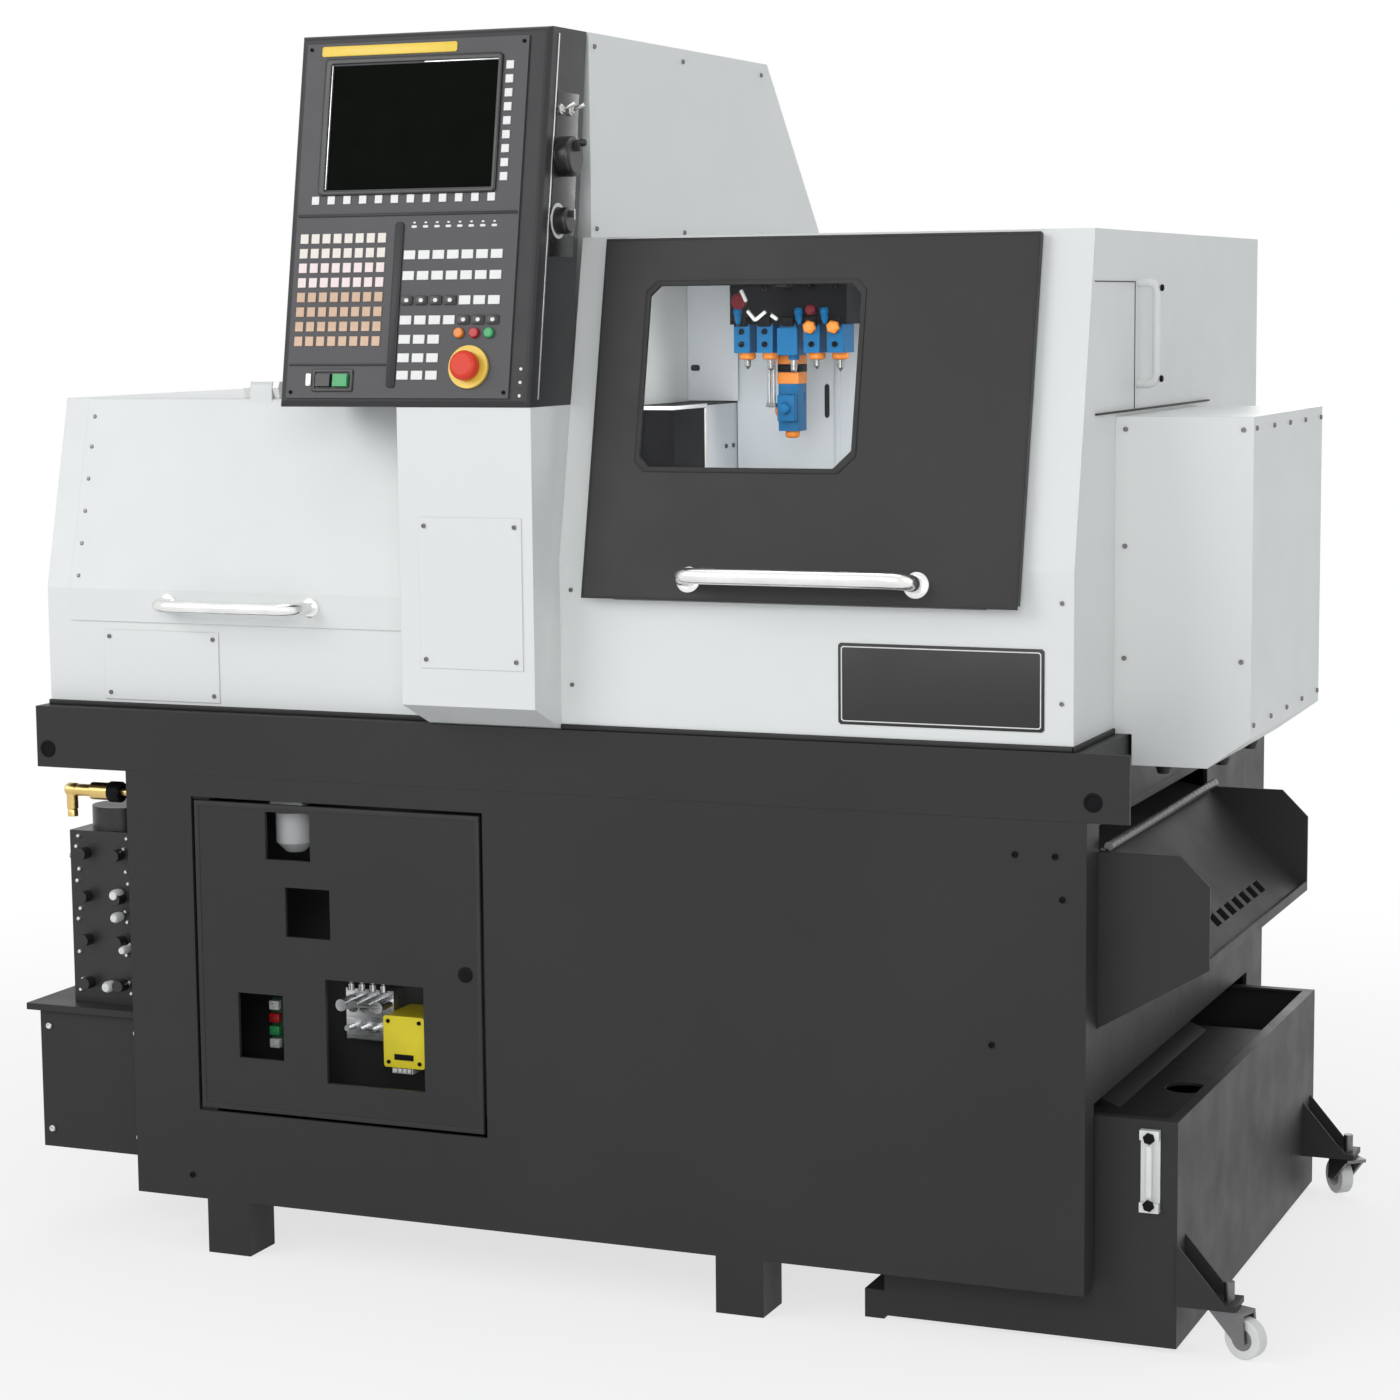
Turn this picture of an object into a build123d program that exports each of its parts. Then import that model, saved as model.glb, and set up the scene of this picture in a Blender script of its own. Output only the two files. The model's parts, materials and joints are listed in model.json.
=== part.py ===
from build123d import *
import os
from math import atan2, cos, hypot, radians, sin, tan

os.makedirs("parts", exist_ok=True)

# Sliding-head CNC turning lathe in millimetres, +Z up, operator side towards -Y.
# The origin is on the floor, at the centre of the four levelling feet.

# Thicknesses and clearances
sheet = 3.0
plate = 6.0
sliding_gap = 0.5
running_gap = 0.05
seam_gap = 5.0
overrun = 15.0

# Base cabinet and deck pan
base_length = 1443.0
base_depth = 1040.0
foot_size = 70.0
foot_height = 80.0
foot_inset = 153.0
foot_pitch = 804.0
panel_height = 628.0
deck_band_height = 90.0
deck_plate = 8.0
deck_left_overhang = 151.0
deck_right_ear = 56.0
level_bolt_radius = 8.5
level_bolt_depth = 50.0

base_left = -foot_inset - foot_pitch / 2
base_right = base_left + base_length
base_front = -base_depth / 2
base_rear = base_depth / 2
foot_row = (base_depth - foot_size) / 2
deck_bottom = foot_height + panel_height
deck_top = deck_bottom + deck_band_height
deck_underside = deck_top - deck_plate
deck_left = base_left - deck_left_overhang

# Coolant tank
tank_reach = 110.0
tank_length = 405.0
tank_setback = 53.0
tank_depth = 868.0
tank_ground_gap = 6.0
tank_height = 305.0
tank_sheet = 4.0
tank_rim = 16.0
tank_stop = 45.0
tank_side_room = 12.0
tank_top_room = 18.0
skid_length = 28.0
skid_height = 40.0
skid_ground_gap = 1.0

tank_right = base_right + tank_reach
tank_left = tank_right - tank_length
tank_front = base_front + tank_setback
tank_rear = tank_front + tank_depth
tank_top = tank_ground_gap + tank_height
bay_wall = tank_left - tank_stop

# Chip chute
chute_setback = 53.0
chute_depth = 610.0
chute_reach = 149.0
chute_top_drop = 46.0
chute_fall = 147.0
chute_skirt_drop = 235.0
chute_corner = 38.0
chute_sheet = 4.0
chute_lip_up = 14.0
chute_slot_count = 7
chute_slot_pitch = 44.0
chute_slot_length = 28.0
chute_slot_width = 14.0
chute_slot_inset = 20.0
slide_headroom = 16.0
chip_mouth = 34.0

chute_top_height = deck_bottom - chute_top_drop
chute_lip_height = chute_top_height - chute_fall
chute_skirt_height = chute_top_height - chute_skirt_drop
chute_front = base_front + chute_setback
chute_rear = chute_front + chute_depth
chute_lip_x = base_right + chute_reach

# Access door in the base
access_inset = 114.0
access_width = 458.0
access_rise = 138.0
access_height = 453.0
access_window_shares = (
    (0.255, 0.823, 0.413, 0.976),
    (0.321, 0.578, 0.478, 0.737),
    (0.142, 0.174, 0.303, 0.386),
    (0.456, 0.115, 0.799, 0.450),
)
access_pin_radius = 3.0
access_pin_inset = 14.0
access_pin_setback = 10.0
access_block = 16.0
access_block_height = 20.0
access_lug = 6.0

access_left = base_left + access_inset
access_right = access_left + access_width
access_bottom = foot_height + access_rise
access_top = access_bottom + access_height
access_pin_x = access_left + access_pin_inset
access_pin_y = base_front + access_pin_setback

# Headstock cover, left of the hood
cover_overhang = 141.0
cover_setback = 27.0
cover_crease_rise = 173.0
cover_rise = 448.0
cover_lean_depth = 68.0

# Hood over the cutting chamber
hood_end_setback = 20.0
hood_length = 725.0
hood_setback = 7.0
hood_crease_rise = 232.0
hood_rise = 669.0
hood_lean_depth = 92.0

cover_left = base_left - cover_overhang
cover_front = base_front + cover_setback
cover_crease = deck_top + cover_crease_rise
cover_top = deck_top + cover_rise
cover_top_front = cover_front + cover_lean_depth
cover_angle = atan2(cover_lean_depth, cover_top - cover_crease)
hood_right = base_right - hood_end_setback
hood_left = hood_right - hood_length
hood_front = base_front + hood_setback
hood_crease = deck_top + hood_crease_rise
hood_top = deck_top + hood_rise
hood_top_front = hood_front + hood_lean_depth
hood_angle = atan2(hood_lean_depth, hood_top - hood_crease)

# Front door that slides up the hood
door_inset = 44.0
door_width = 613.0
door_drop = 52.0
door_climb = 440.0
door_gap = 14.0
door_sheet = 2.5
door_flange = 10.0
door_jamb = 45.0
door_sill = 30.0
door_head = 40.0
window_inset = 70.0
window_width = 305.0
window_climb = 126.0
window_height = 250.0
window_small_corner = 14.0
window_large_corner = 24.0
pane_thickness = 5.0
pane_margin = 18.0
rail_inset = 12.0
rail_width = 14.0
rail_margin = 14.0
door_handle_inset = 156.0
door_handle_span = 320.0
door_handle_climb = -24.0
door_handle_reach = 46.0
door_handle_radius = 11.0
door_handle_bend = 26.0

door_left = hood_left + door_inset
door_right = door_left + door_width

# Flip-up door over the headstock
flip_inset = 40.0
flip_rise = 126.0
flip_top_margin = 2.0
flip_sheet = 2.5
flip_lap = 18.0
flip_handle_middle_share = 0.479
flip_handle_span = 234.0
flip_handle_drop = 18.0
flip_handle_reach = 48.0
flip_handle_radius = 9.0
flip_handle_bend = 30.0
hinge_back = 5.0
hinge_up = 16.0
hinge_pin_radius = 4.0
hinge_barrel_radius = 8.0
hinge_barrel_length = 36.0
hinge_ear = 10.0
hinge_leaf = 22.0
hinge_inset_shares = (0.49, 0.90)

# Bay below the operator panel
bay_width = 201.0
bay_reach = 103.0
bay_lip = 36.0
bay_headroom = 6.0

bay_left = hood_left - bay_width
bay_front = cover_front - bay_reach
bay_top = cover_top - bay_headroom
flip_left = cover_left + flip_inset
flip_right = bay_left - seam_gap
flip_bottom = deck_top + flip_rise
hinge_y = cover_top_front + hinge_back
hinge_z = cover_top + hinge_up

# Operator panel
pendant_width = 380.0
pendant_overlap = 6.0
pendant_depth = 134.0
pendant_height = 506.0
pendant_lean_depth = 90.0
pendant_rear_lean_depth = 69.0
pendant_fillet = 8.0
panel_margin = 12.0
panel_bezel_width = 30.0
panel_plate = 3.0
screen_plate = 1.5
key_rise = 1.5
screen_u_shares = (0.145, 0.805)
screen_v_shares = (0.580, 0.915)
soft_column_u_share = 0.853
soft_column_v_shares = (0.606, 0.900)
soft_column_count = 9
soft_row_u_shares = (0.105, 0.810)
soft_row_v_share = 0.553
soft_row_count = 12
soft_key_width = 11.0
function_row_v_shares = (0.403, 0.348, 0.282, 0.230, 0.179, 0.130, 0.084)
function_row_counts = (7, 7, 7, 7, 3, 3, 3)
function_left_share = 0.500
function_pitch_share = 0.0575
function_key_width = 17.0
function_key_height = 12.0
letter_u_shares = (0.070, 0.385)
letter_v_shares = (0.175, 0.450)
letter_columns = 8
letter_rows = 8
letter_key_width = 12.0
letter_key_height = 13.0
push_u_shares = (0.716, 0.776, 0.834)
push_v_share = 0.195
push_radius = 7.0
push_rise = 6.0
push_travel = 3.0
push_stem = 10.0
push_side_gap = 0.3
estop_u_share = 0.763
estop_v_share = 0.105
estop_radius = 20.0
estop_height = 14.0
estop_stem_radius = 9.0
estop_ring_radius = 29.0
estop_ring_rise = 5.0
estop_travel = 5.0
power_u_share = 0.185
power_key_gap = 4.6
power_v_share = 0.070
power_width = 22.0
power_height = 17.0
wheel_knob_radius = 27.0
wheel_knob_length = 22.0
selector_radius = 18.0
selector_length = 18.0
knob_shaft_radius = 5.0
knob_shaft_length = 12.0
knob_stand = 1.0
wheel_knob_climb_share = 0.66
selector_climb_share = 0.49
knob_depth_share = 0.46

pendant_left = hood_left - pendant_width
pendant_front = bay_front - pendant_overlap
pendant_top = bay_top + pendant_height
pendant_slope = hypot(pendant_lean_depth, pendant_height)
pendant_angle = atan2(pendant_lean_depth, pendant_height)

# Cabinet tower behind the operator panel
tower_width = 398.0
tower_setback = 128.0
tower_top_depth = 674.0
tower_shoulder = 254.0
tower_rear_inset = 8.0

tower_left = hood_left - tower_width
tower_front = base_front + tower_setback
tower_rear = base_rear - tower_rear_inset

# Box on the right end of the hood
side_box_width = 186.0
side_box_setback = 202.0
side_box_depth = 436.0
side_box_rise = 424.0
side_box_tongue = 42.0
side_box_corner = 58.0
side_box_gap = 5.0
side_handle_setback = 315.0
side_handle_rise = 464.0
side_handle_span = 136.0
side_handle_reach = 26.0
side_handle_radius = 6.0
side_handle_bend = 12.0

side_box_front = base_front + side_box_setback
side_box_rear = side_box_front + side_box_depth
side_box_right = hood_right + side_box_width
side_box_top = deck_top + side_box_rise

# Spindle line and bed
axis_setback = 330.0
axis_rise = 242.0
bed_inset = 40.0
bed_end_gap = 43.0
ledge_setback = 200.0
ledge_end_gap = 8.0
ledge_rise = 102.0
bed_back_setback = 490.0
bed_back_depth = 210.0
bed_back_rise = 162.0
column_inset = 82.0
column_width = 100.0
column_setback = 500.0
column_depth = 160.0
rail_bar_width = 20.0
rail_bar_height = 20.0
rail_straddle = 12.0
headstock_rail_spread = 120.0
sub_rail_first = 40.0
sub_rail_spread = 110.0
column_rail_spread = 60.0

axis_y = base_front + axis_setback
axis_z = deck_top + axis_rise
bed_left = base_left + bed_inset
bed_right = base_right - bed_end_gap
ledge_right = hood_left - ledge_end_gap
ledge_top = deck_top + ledge_rise
ledge_front = base_front + ledge_setback
bed_back = base_front + bed_back_setback
bed_back_top = deck_top + bed_back_rise
column_left = hood_left + column_inset
column_right = column_left + column_width
column_front = base_front + column_setback

# Headstock, spindles and guide bush
headstock_inset = 150.0
headstock_length = 250.0
headstock_width = 170.0
headstock_head = 80.0
headstock_fillet = 20.0
spindle_radius = 30.0
spindle_bore = 11.0
spindle_tail = 30.0
nose_radius = 40.0
nose_length = 46.0
nose_stand = 2.0
port_half = 105.0
bush_column_width = 74.0
bush_column_depth = 250.0
bush_column_lead = 100.0
bush_column_rise = 434.0
bush_radius = 40.0
bush_bore = 10.2
bush_flange_radius = 52.0
bush_flange = 14.0
sub_wall_gap = 10.0
sub_length = 200.0
sub_width = 160.0
sub_head = 80.0
sub_arm = 40.0
sub_slot_room = 14.0
sub_travel = 110.0

headstock_left = base_left + headstock_inset
headstock_right = headstock_left + headstock_length
sub_right = hood_right - sheet - sub_wall_gap - spindle_tail
sub_left = sub_right - sub_length

# Gang tool post
slide_plate = 30.0
slide_width = 94.0
slide_rise = 382.0
slide_height = 256.0
beam_thickness = 28.0
beam_length = 227.0
post_setback = 305.0
post_depth = 115.0
post_left_inset = 134.0
post_length = 176.0
post_height = 62.0
post_gib = 16.0
post_gib_depth = 10.0
post_travel = 30.0
holder_count = 5
holder_width = 24.0
holder_height = 40.0
holder_depth = 46.0
holder_nose_radius = 8.0
holder_nose_length = 10.0
arm_width = 30.0
arm_depth = 34.0
arm_length = 112.0
slide_rise_room = 20.0
slide_drop_room = 150.0

slide_low = deck_top + slide_rise
slide_high = slide_low + slide_height
column_top = slide_high + slide_rise_room
slide_left = column_left + (column_width - slide_width) / 2
slide_right = slide_left + slide_width
slide_rear = column_front - sliding_gap
slide_front = slide_rear - slide_plate
beam_low = slide_high - beam_thickness
post_left = hood_left + post_left_inset
post_right = post_left + post_length
post_front = base_front + post_setback
beam_front = post_front - post_travel
post_rear = post_front + post_depth
post_top = beam_low - sliding_gap
post_low = post_top - post_height

# Chamber liner
liner_setback = 462.0
liner_sheet = 2.0
liner_fold = 20.0
chip_opening_setback = 140.0
liner_end_room = 6.0
liner_head_room = 14.0

liner_back = base_front + liner_setback
liner_left = hood_left + sheet + bush_column_width + liner_end_room
liner_right = hood_right - sheet - liner_end_room

# Service pieces behind the access door
service_setback = 150.0
service_margin = 18.0
service_shift = 33.0
service_drop = 15.0
regulator_shift = 16.0
regulator_radius = 28.0
regulator_bowl = 58.0
regulator_neck = 12.0
regulator_head = 52.0
valve_count = 4
valve_radius = 9.0
valve_reach = 34.0
manifold_depth = 30.0
supply_width = 66.0
supply_height = 76.0
supply_depth = 80.0
terminal_count = 6
terminal_depth = 60.0
terminal_rib = 4.0

# Oil unit and air inlet on the left end
oil_box_width = 189.0
oil_box_setback = 40.0
oil_box_depth = 330.0
oil_box_low = 122.0
oil_box_height = 210.0
oil_shelf = 10.0
oil_shelf_lip = 18.0
oil_pump_inset = 26.0
oil_pump_width = 116.0
oil_pump_depth = 180.0
oil_pump_height = 262.0
oil_pump_setback = 24.0
oil_motor_radius = 44.0
oil_motor_height = 34.0
oil_motor_setback = 10.0
oil_port_count = 4
oil_port_radius = 9.0
oil_port_reach = 20.0
air_drop = 42.0
air_setback = 60.0
air_pipe_radius = 6.0
air_pipe_length = 52.0
air_body_radius = 13.0
air_body_length = 44.0
air_nose_radius = 9.0
air_nose_length = 26.0

# Casters on the tank
caster_reach = 65.0
caster_inset = 22.0
caster_wheel_radius = 27.0
caster_wheel_width = 20.0
caster_trail = 26.0
caster_axle_radius = 4.0
caster_fork_sheet = 4.0
caster_fork_gap = 2.0
caster_crown = 5.0
caster_crown_room = 5.0
caster_stem_radius = 7.0
caster_stem_length = 34.0
caster_bracket_plate = 8.0
caster_bracket_width = 54.0
caster_bracket_height = 84.0
caster_turns = (-20.0, 130.0)

caster_axle_z = skid_ground_gap + caster_wheel_radius
caster_crown_low = caster_axle_z + caster_wheel_radius + caster_crown_room
caster_crown_top = caster_crown_low + caster_crown
caster_stem_x = tank_right + caster_reach
caster_ys = (tank_front + caster_inset, tank_rear - caster_inset - caster_bracket_width / 2)

# Tank fittings
lid_drop = 26.0
lid_plate = 4.0
lid_depth_share = 0.78
lid_hole_radius = 30.0
strainer_rise = 40.0
strainer_run = 90.0
strainer_setback = 150.0
strainer_depth = 500.0
strainer_right_inset = 118.0
gauge_inset = 36.0
gauge_width = 26.0
gauge_height = 110.0
gauge_drop = 12.0
gauge_depth = 10.0
gauge_tube_radius = 6.0

# Screwed plates on the covers
plate_sheet = 2.0
bay_plate_left_margin = 30.0
bay_plate_right_margin = 16.0
bay_plate_low_share = 0.199
bay_plate_high_share = 0.665
cover_plate_inset = 96.0
cover_plate_width = 192.0
cover_plate_margin = 12.0


def slab(x0, x1, y0, y1, z0, z1, mode=Mode.ADD):
    """Box between two corners, added to the piece in hand."""
    with Locations(((x0 + x1) / 2, (y0 + y1) / 2, (z0 + z1) / 2)):
        Box(x1 - x0, y1 - y0, z1 - z0, mode=mode)


def prism(plane, points, depth, mode=Mode.ADD):
    """Closed outline on a plane, extruded along the plane's normal."""
    with BuildSketch(plane) as outline:
        with BuildLine():
            Polyline(*points, close=True)
        make_face()
    extrude(outline.sketch, amount=depth, mode=mode)


def rod(start, end, radius, mode=Mode.ADD):
    """Round bar from one point to another."""
    reach = Vector(*end) - Vector(*start)
    with BuildSketch(Plane(origin=start, z_dir=reach.normalized())) as section:
        Circle(radius)
    extrude(section.sketch, amount=reach.length, mode=mode)


def bow(points, bend, radius):
    """Round tube along straight runs joined by bends."""
    with BuildLine() as path:
        FilletPolyline(*points, radius=bend)
    route = path.wires()[0]
    with BuildSketch(Plane(origin=route @ 0, z_dir=route % 0)) as section:
        Circle(radius)
    sweep(section.sketch, path=route)


def finish(piece, name):
    """Label a finished piece and write it to its own file."""
    piece.part.label = name
    export_step(piece.part, f"parts/{name}.step")


def on_plane(plane, u, v, n=0):
    """Point of the room at (u, v) on a plane, n above it."""
    return tuple(plane.from_local_coords((u, v, n)))


def cover_point(distance, climb_from_top):
    """Point a distance off the sloping front of the headstock cover, below its top edge."""
    y = cover_top_front - climb_from_top * sin(cover_angle) - distance * cos(cover_angle)
    z = cover_top - climb_from_top * cos(cover_angle) + distance * sin(cover_angle)
    return (y, z)


def share(low, high, part):
    """Value part of the way from low to high."""
    return low + (high - low) * part


# Base cabinet: panels, floor, tank bay wall, tank stops and feet
with BuildPart() as base_cabinet:
    slab(base_left, base_right, base_front, base_front + plate, foot_height, deck_bottom)
    slab(base_left, base_right, base_rear - plate, base_rear, foot_height, deck_bottom)
    inner_front = base_front + plate
    inner_rear = base_rear - plate
    slab(base_left, base_left + plate, inner_front, inner_rear, foot_height, deck_underside)
    slab(base_right - plate, base_right, inner_front, inner_rear, foot_height, deck_bottom)
    slab(bay_wall - plate, bay_wall, inner_front, inner_rear, foot_height, tank_top + tank_stop)
    slab(base_left, bay_wall, base_front, base_rear, foot_height, foot_height + plate)
    slab(
        base_right - plate - overrun,
        base_right + overrun,
        tank_front - tank_side_room,
        tank_rear + tank_side_room,
        foot_height - overrun,
        tank_top + tank_top_room,
        mode=Mode.SUBTRACT,
    )
    slab(
        base_right - plate - overrun,
        base_right + overrun,
        chute_front + plate,
        chute_rear - plate,
        chute_lip_height,
        chute_top_height + chip_mouth,
        mode=Mode.SUBTRACT,
    )
    slab(
        access_left - seam_gap,
        access_right + seam_gap,
        base_front - overrun,
        base_front + plate + overrun,
        access_bottom - seam_gap,
        access_top + seam_gap,
        mode=Mode.SUBTRACT,
    )
    for stop_y in (tank_front + tank_depth / 4, tank_rear - tank_depth / 4):
        rod(
            (bay_wall - plate, stop_y, tank_top - tank_height / 3),
            (tank_left - sliding_gap, stop_y, tank_top - tank_height / 3),
            tank_rim,
        )
    # Lugs for the access door's pins, above and below its opening
    for lug_low in (access_top + sliding_gap, access_bottom - sliding_gap - access_lug):
        slab(
            access_left - seam_gap - access_block,
            access_pin_x + access_block / 2,
            base_front + plate,
            access_pin_y + access_block,
            lug_low,
            lug_low + access_lug,
        )
    rod(
        (access_pin_x, access_pin_y, access_bottom - access_lug - overrun),
        (access_pin_x, access_pin_y, access_top + access_lug + overrun),
        access_pin_radius + running_gap,
        mode=Mode.SUBTRACT,
    )
    with GridLocations(foot_pitch, 2 * foot_row, 2, 2):
        Box(foot_size, foot_size, foot_height, align=(Align.CENTER, Align.CENTER, Align.MIN))
        Cylinder(
            level_bolt_radius,
            level_bolt_depth,
            align=(Align.CENTER, Align.CENTER, Align.MIN),
            mode=Mode.SUBTRACT,
        )
finish(base_cabinet, "base_cabinet")

# Deck pan: a shallow tray turned over the base, with a chip opening
with BuildPart() as deck_pan:
    slab(deck_left, base_right, base_front, base_rear, deck_bottom, deck_top)
    slab(
        deck_left + plate,
        base_right - plate,
        base_front + plate,
        base_rear - plate,
        deck_bottom - overrun,
        deck_underside,
        mode=Mode.SUBTRACT,
    )
    slab(base_right, base_right + deck_right_ear, base_front, base_front + plate, deck_bottom, deck_top)
    slab(
        liner_left,
        hood_right - sheet - liner_end_room,
        base_front + chip_opening_setback,
        liner_back - plate,
        deck_underside - overrun,
        deck_top + overrun,
        mode=Mode.SUBTRACT,
    )
finish(deck_pan, "deck_pan")

# Access door: plate with four cut-outs and two hinge blocks with pins
with BuildPart() as access_door:
    slab(access_left, access_right, base_front, base_front + plate, access_bottom, access_top)
    for left, low, right, high in access_window_shares:
        slab(
            share(access_left, access_right, left),
            share(access_left, access_right, right),
            base_front - overrun,
            base_front + plate + overrun,
            share(access_bottom, access_top, low),
            share(access_bottom, access_top, high),
            mode=Mode.SUBTRACT,
        )
    for block_low, pin_end in (
        (access_top - access_block_height, access_top + access_lug),
        (access_bottom, access_bottom - access_lug),
    ):
        slab(
            access_pin_x - access_block / 2,
            access_pin_x + access_block / 2,
            base_front + plate,
            access_pin_y + access_block / 2,
            block_low,
            block_low + access_block_height,
        )
        middle = block_low + access_block_height / 2
        rod((access_pin_x, access_pin_y, middle), (access_pin_x, access_pin_y, pin_end), access_pin_radius)
finish(access_door, "access_door")


def window_middle(index):
    """Middle of one of the access door's cut-outs, as x and z."""
    left, low, right, high = access_window_shares[index]
    x = share(access_left, access_right, (left + right) / 2)
    z = share(access_bottom, access_top, (low + high) / 2)
    return (x, z)


# Service panel behind the access door, held by the base's left panel
service_face = base_front + service_setback
with BuildPart() as service_panel:
    slab(
        base_left + plate,
        access_right,
        service_face,
        service_face + sheet,
        access_bottom - service_margin,
        access_top + service_margin,
    )
finish(service_panel, "service_panel")

# Air regulator: square head with a clear bowl below it, on a bracket arm
with BuildPart() as air_regulator:
    opening_x, bowl_z = window_middle(0)
    bowl_x = opening_x - regulator_shift
    bowl_y = base_front + plate + service_margin + regulator_radius
    bowl_low = bowl_z - regulator_bowl / 2
    with BuildSketch(Plane.XZ.offset(-bowl_y)):
        with BuildLine():
            Polyline(
                (bowl_x, bowl_low),
                (bowl_x + regulator_radius / 2, bowl_low),
                (bowl_x + regulator_radius, bowl_low + regulator_radius / 2),
                (bowl_x + regulator_radius, bowl_low + regulator_bowl),
                (bowl_x + regulator_neck, bowl_low + regulator_bowl),
                (bowl_x + regulator_neck, bowl_low + regulator_bowl + regulator_neck),
                (bowl_x, bowl_low + regulator_bowl + regulator_neck),
                close=True,
            )
        make_face()
    revolve(axis=Axis((bowl_x, bowl_y, 0), (0, 0, 1)))
    head_low = bowl_low + regulator_bowl + regulator_neck
    slab(
        bowl_x - regulator_head / 2,
        bowl_x + regulator_head / 2,
        bowl_y - regulator_head / 2,
        service_face,
        head_low,
        head_low + regulator_neck,
    )
finish(air_regulator, "air_regulator")

# Valve bank: manifold block with a row of round valves
with BuildPart() as valve_bank:
    opening_x, bank_z = window_middle(3)
    bank_x = opening_x - service_shift
    bank_left = share(access_left, access_right, access_window_shares[3][0]) - service_shift
    slab(
        bank_left,
        bank_x,
        service_face - manifold_depth,
        service_face,
        bank_z - supply_height / 2,
        bank_z + supply_height / 2,
    )
    for index in range(valve_count):
        valve_x = share(bank_left, bank_x, (index + 1 / 2) / valve_count)
        rod(
            (valve_x, service_face - manifold_depth, bank_z + supply_height / 4),
            (valve_x, service_face - manifold_depth - valve_reach, bank_z + supply_height / 4),
            valve_radius,
        )
        rod(
            (valve_x, service_face - manifold_depth, bank_z - supply_height / 4),
            (valve_x, service_face - manifold_depth - valve_reach / 2, bank_z - supply_height / 4),
            valve_radius / 2,
        )
finish(valve_bank, "valve_bank")

# Supply box: small closed box on the service panel
with BuildPart() as supply_box:
    slab(
        bank_x + service_margin / 2,
        bank_x + service_margin / 2 + supply_width,
        service_face - supply_depth,
        service_face,
        bank_z - supply_height / 2 - service_margin / 2 - service_drop,
        bank_z + supply_height / 2 - service_margin / 2 - service_drop,
    )
    fillet(supply_box.edges().filter_by(Axis.Y), radius=terminal_rib)
finish(supply_box, "supply_box")

# Terminal block: ribbed strip standing on the service panel
with BuildPart() as terminal_block:
    opening_x, opening_z = window_middle(2)
    strip_x = opening_x - service_shift
    strip_z = opening_z - service_drop
    strip_half = service_margin
    strip_low = strip_z - supply_height / 2
    strip_high = strip_z + supply_height / 2
    slab(strip_x, strip_x + strip_half, service_face - terminal_depth, service_face, strip_low, strip_high)
    for index in range(terminal_count):
        rib_z = share(strip_low, strip_high, (index + 1 / 2) / terminal_count)
        slab(
            strip_x,
            strip_x + strip_half,
            service_face - terminal_depth - terminal_rib,
            service_face - terminal_depth,
            rib_z - terminal_rib / 2,
            rib_z + terminal_rib / 2,
        )
finish(terminal_block, "terminal_block")

# Oil cabinet with its shelf, on the left end of the base
oil_front = base_front + oil_box_setback
oil_rear = oil_front + oil_box_depth
oil_left = base_left - oil_box_width
oil_shelf_low = oil_box_low + oil_box_height
oil_shelf_top = oil_shelf_low + oil_shelf
with BuildPart() as oil_cabinet:
    slab(oil_left, base_left, oil_front, oil_rear, oil_box_low, oil_shelf_low)
    offset(amount=-sheet, openings=oil_cabinet.faces().sort_by(Axis.X)[-1])
    slab(
        oil_left - oil_shelf_lip,
        base_left,
        oil_front - oil_shelf_lip / 2,
        oil_rear,
        oil_shelf_low,
        oil_shelf_top,
    )
finish(oil_cabinet, "oil_cabinet")

# Oil pump: reservoir with a round motor and a row of outlet ports
pump_right = base_left - oil_pump_inset
pump_left = pump_right - oil_pump_width
pump_front = oil_front + oil_pump_setback
pump_rear = pump_front + oil_pump_depth
pump_high = oil_shelf_top + oil_pump_height
with BuildPart() as oil_pump:
    slab(pump_left, pump_right, pump_front, pump_rear, oil_shelf_top, pump_high)
    motor_x = (pump_left + pump_right) / 2
    motor_y = pump_front + oil_motor_radius + oil_motor_setback
    rod((motor_x, motor_y, pump_high), (motor_x, motor_y, pump_high + oil_motor_height), oil_motor_radius)
    for index in range(oil_port_count):
        port_z = share(oil_shelf_top, pump_high, (index + 1 / 2) / oil_port_count)
        for port_x in (share(pump_left, pump_right, 1 / 4), share(pump_left, pump_right, 3 / 4)):
            rod((port_x, pump_front, port_z), (port_x, pump_front - oil_port_reach, port_z), oil_port_radius)
finish(oil_pump, "oil_pump")

# Air coupler: stepped quick coupler on a short pipe out of the base's left panel
with BuildPart() as air_coupler:
    air_y = base_front + air_setback
    air_z = deck_bottom - air_drop
    pipe_end = base_left - air_pipe_length
    body_end = pipe_end - air_body_length
    rod((base_left, air_y, air_z), (pipe_end, air_y, air_z), air_pipe_radius)
    rod((pipe_end, air_y, air_z), (body_end, air_y, air_z), air_body_radius)
    rod((body_end, air_y, air_z), (body_end - air_nose_length, air_y, air_z), air_nose_radius)
finish(air_coupler, "air_coupler")

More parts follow.
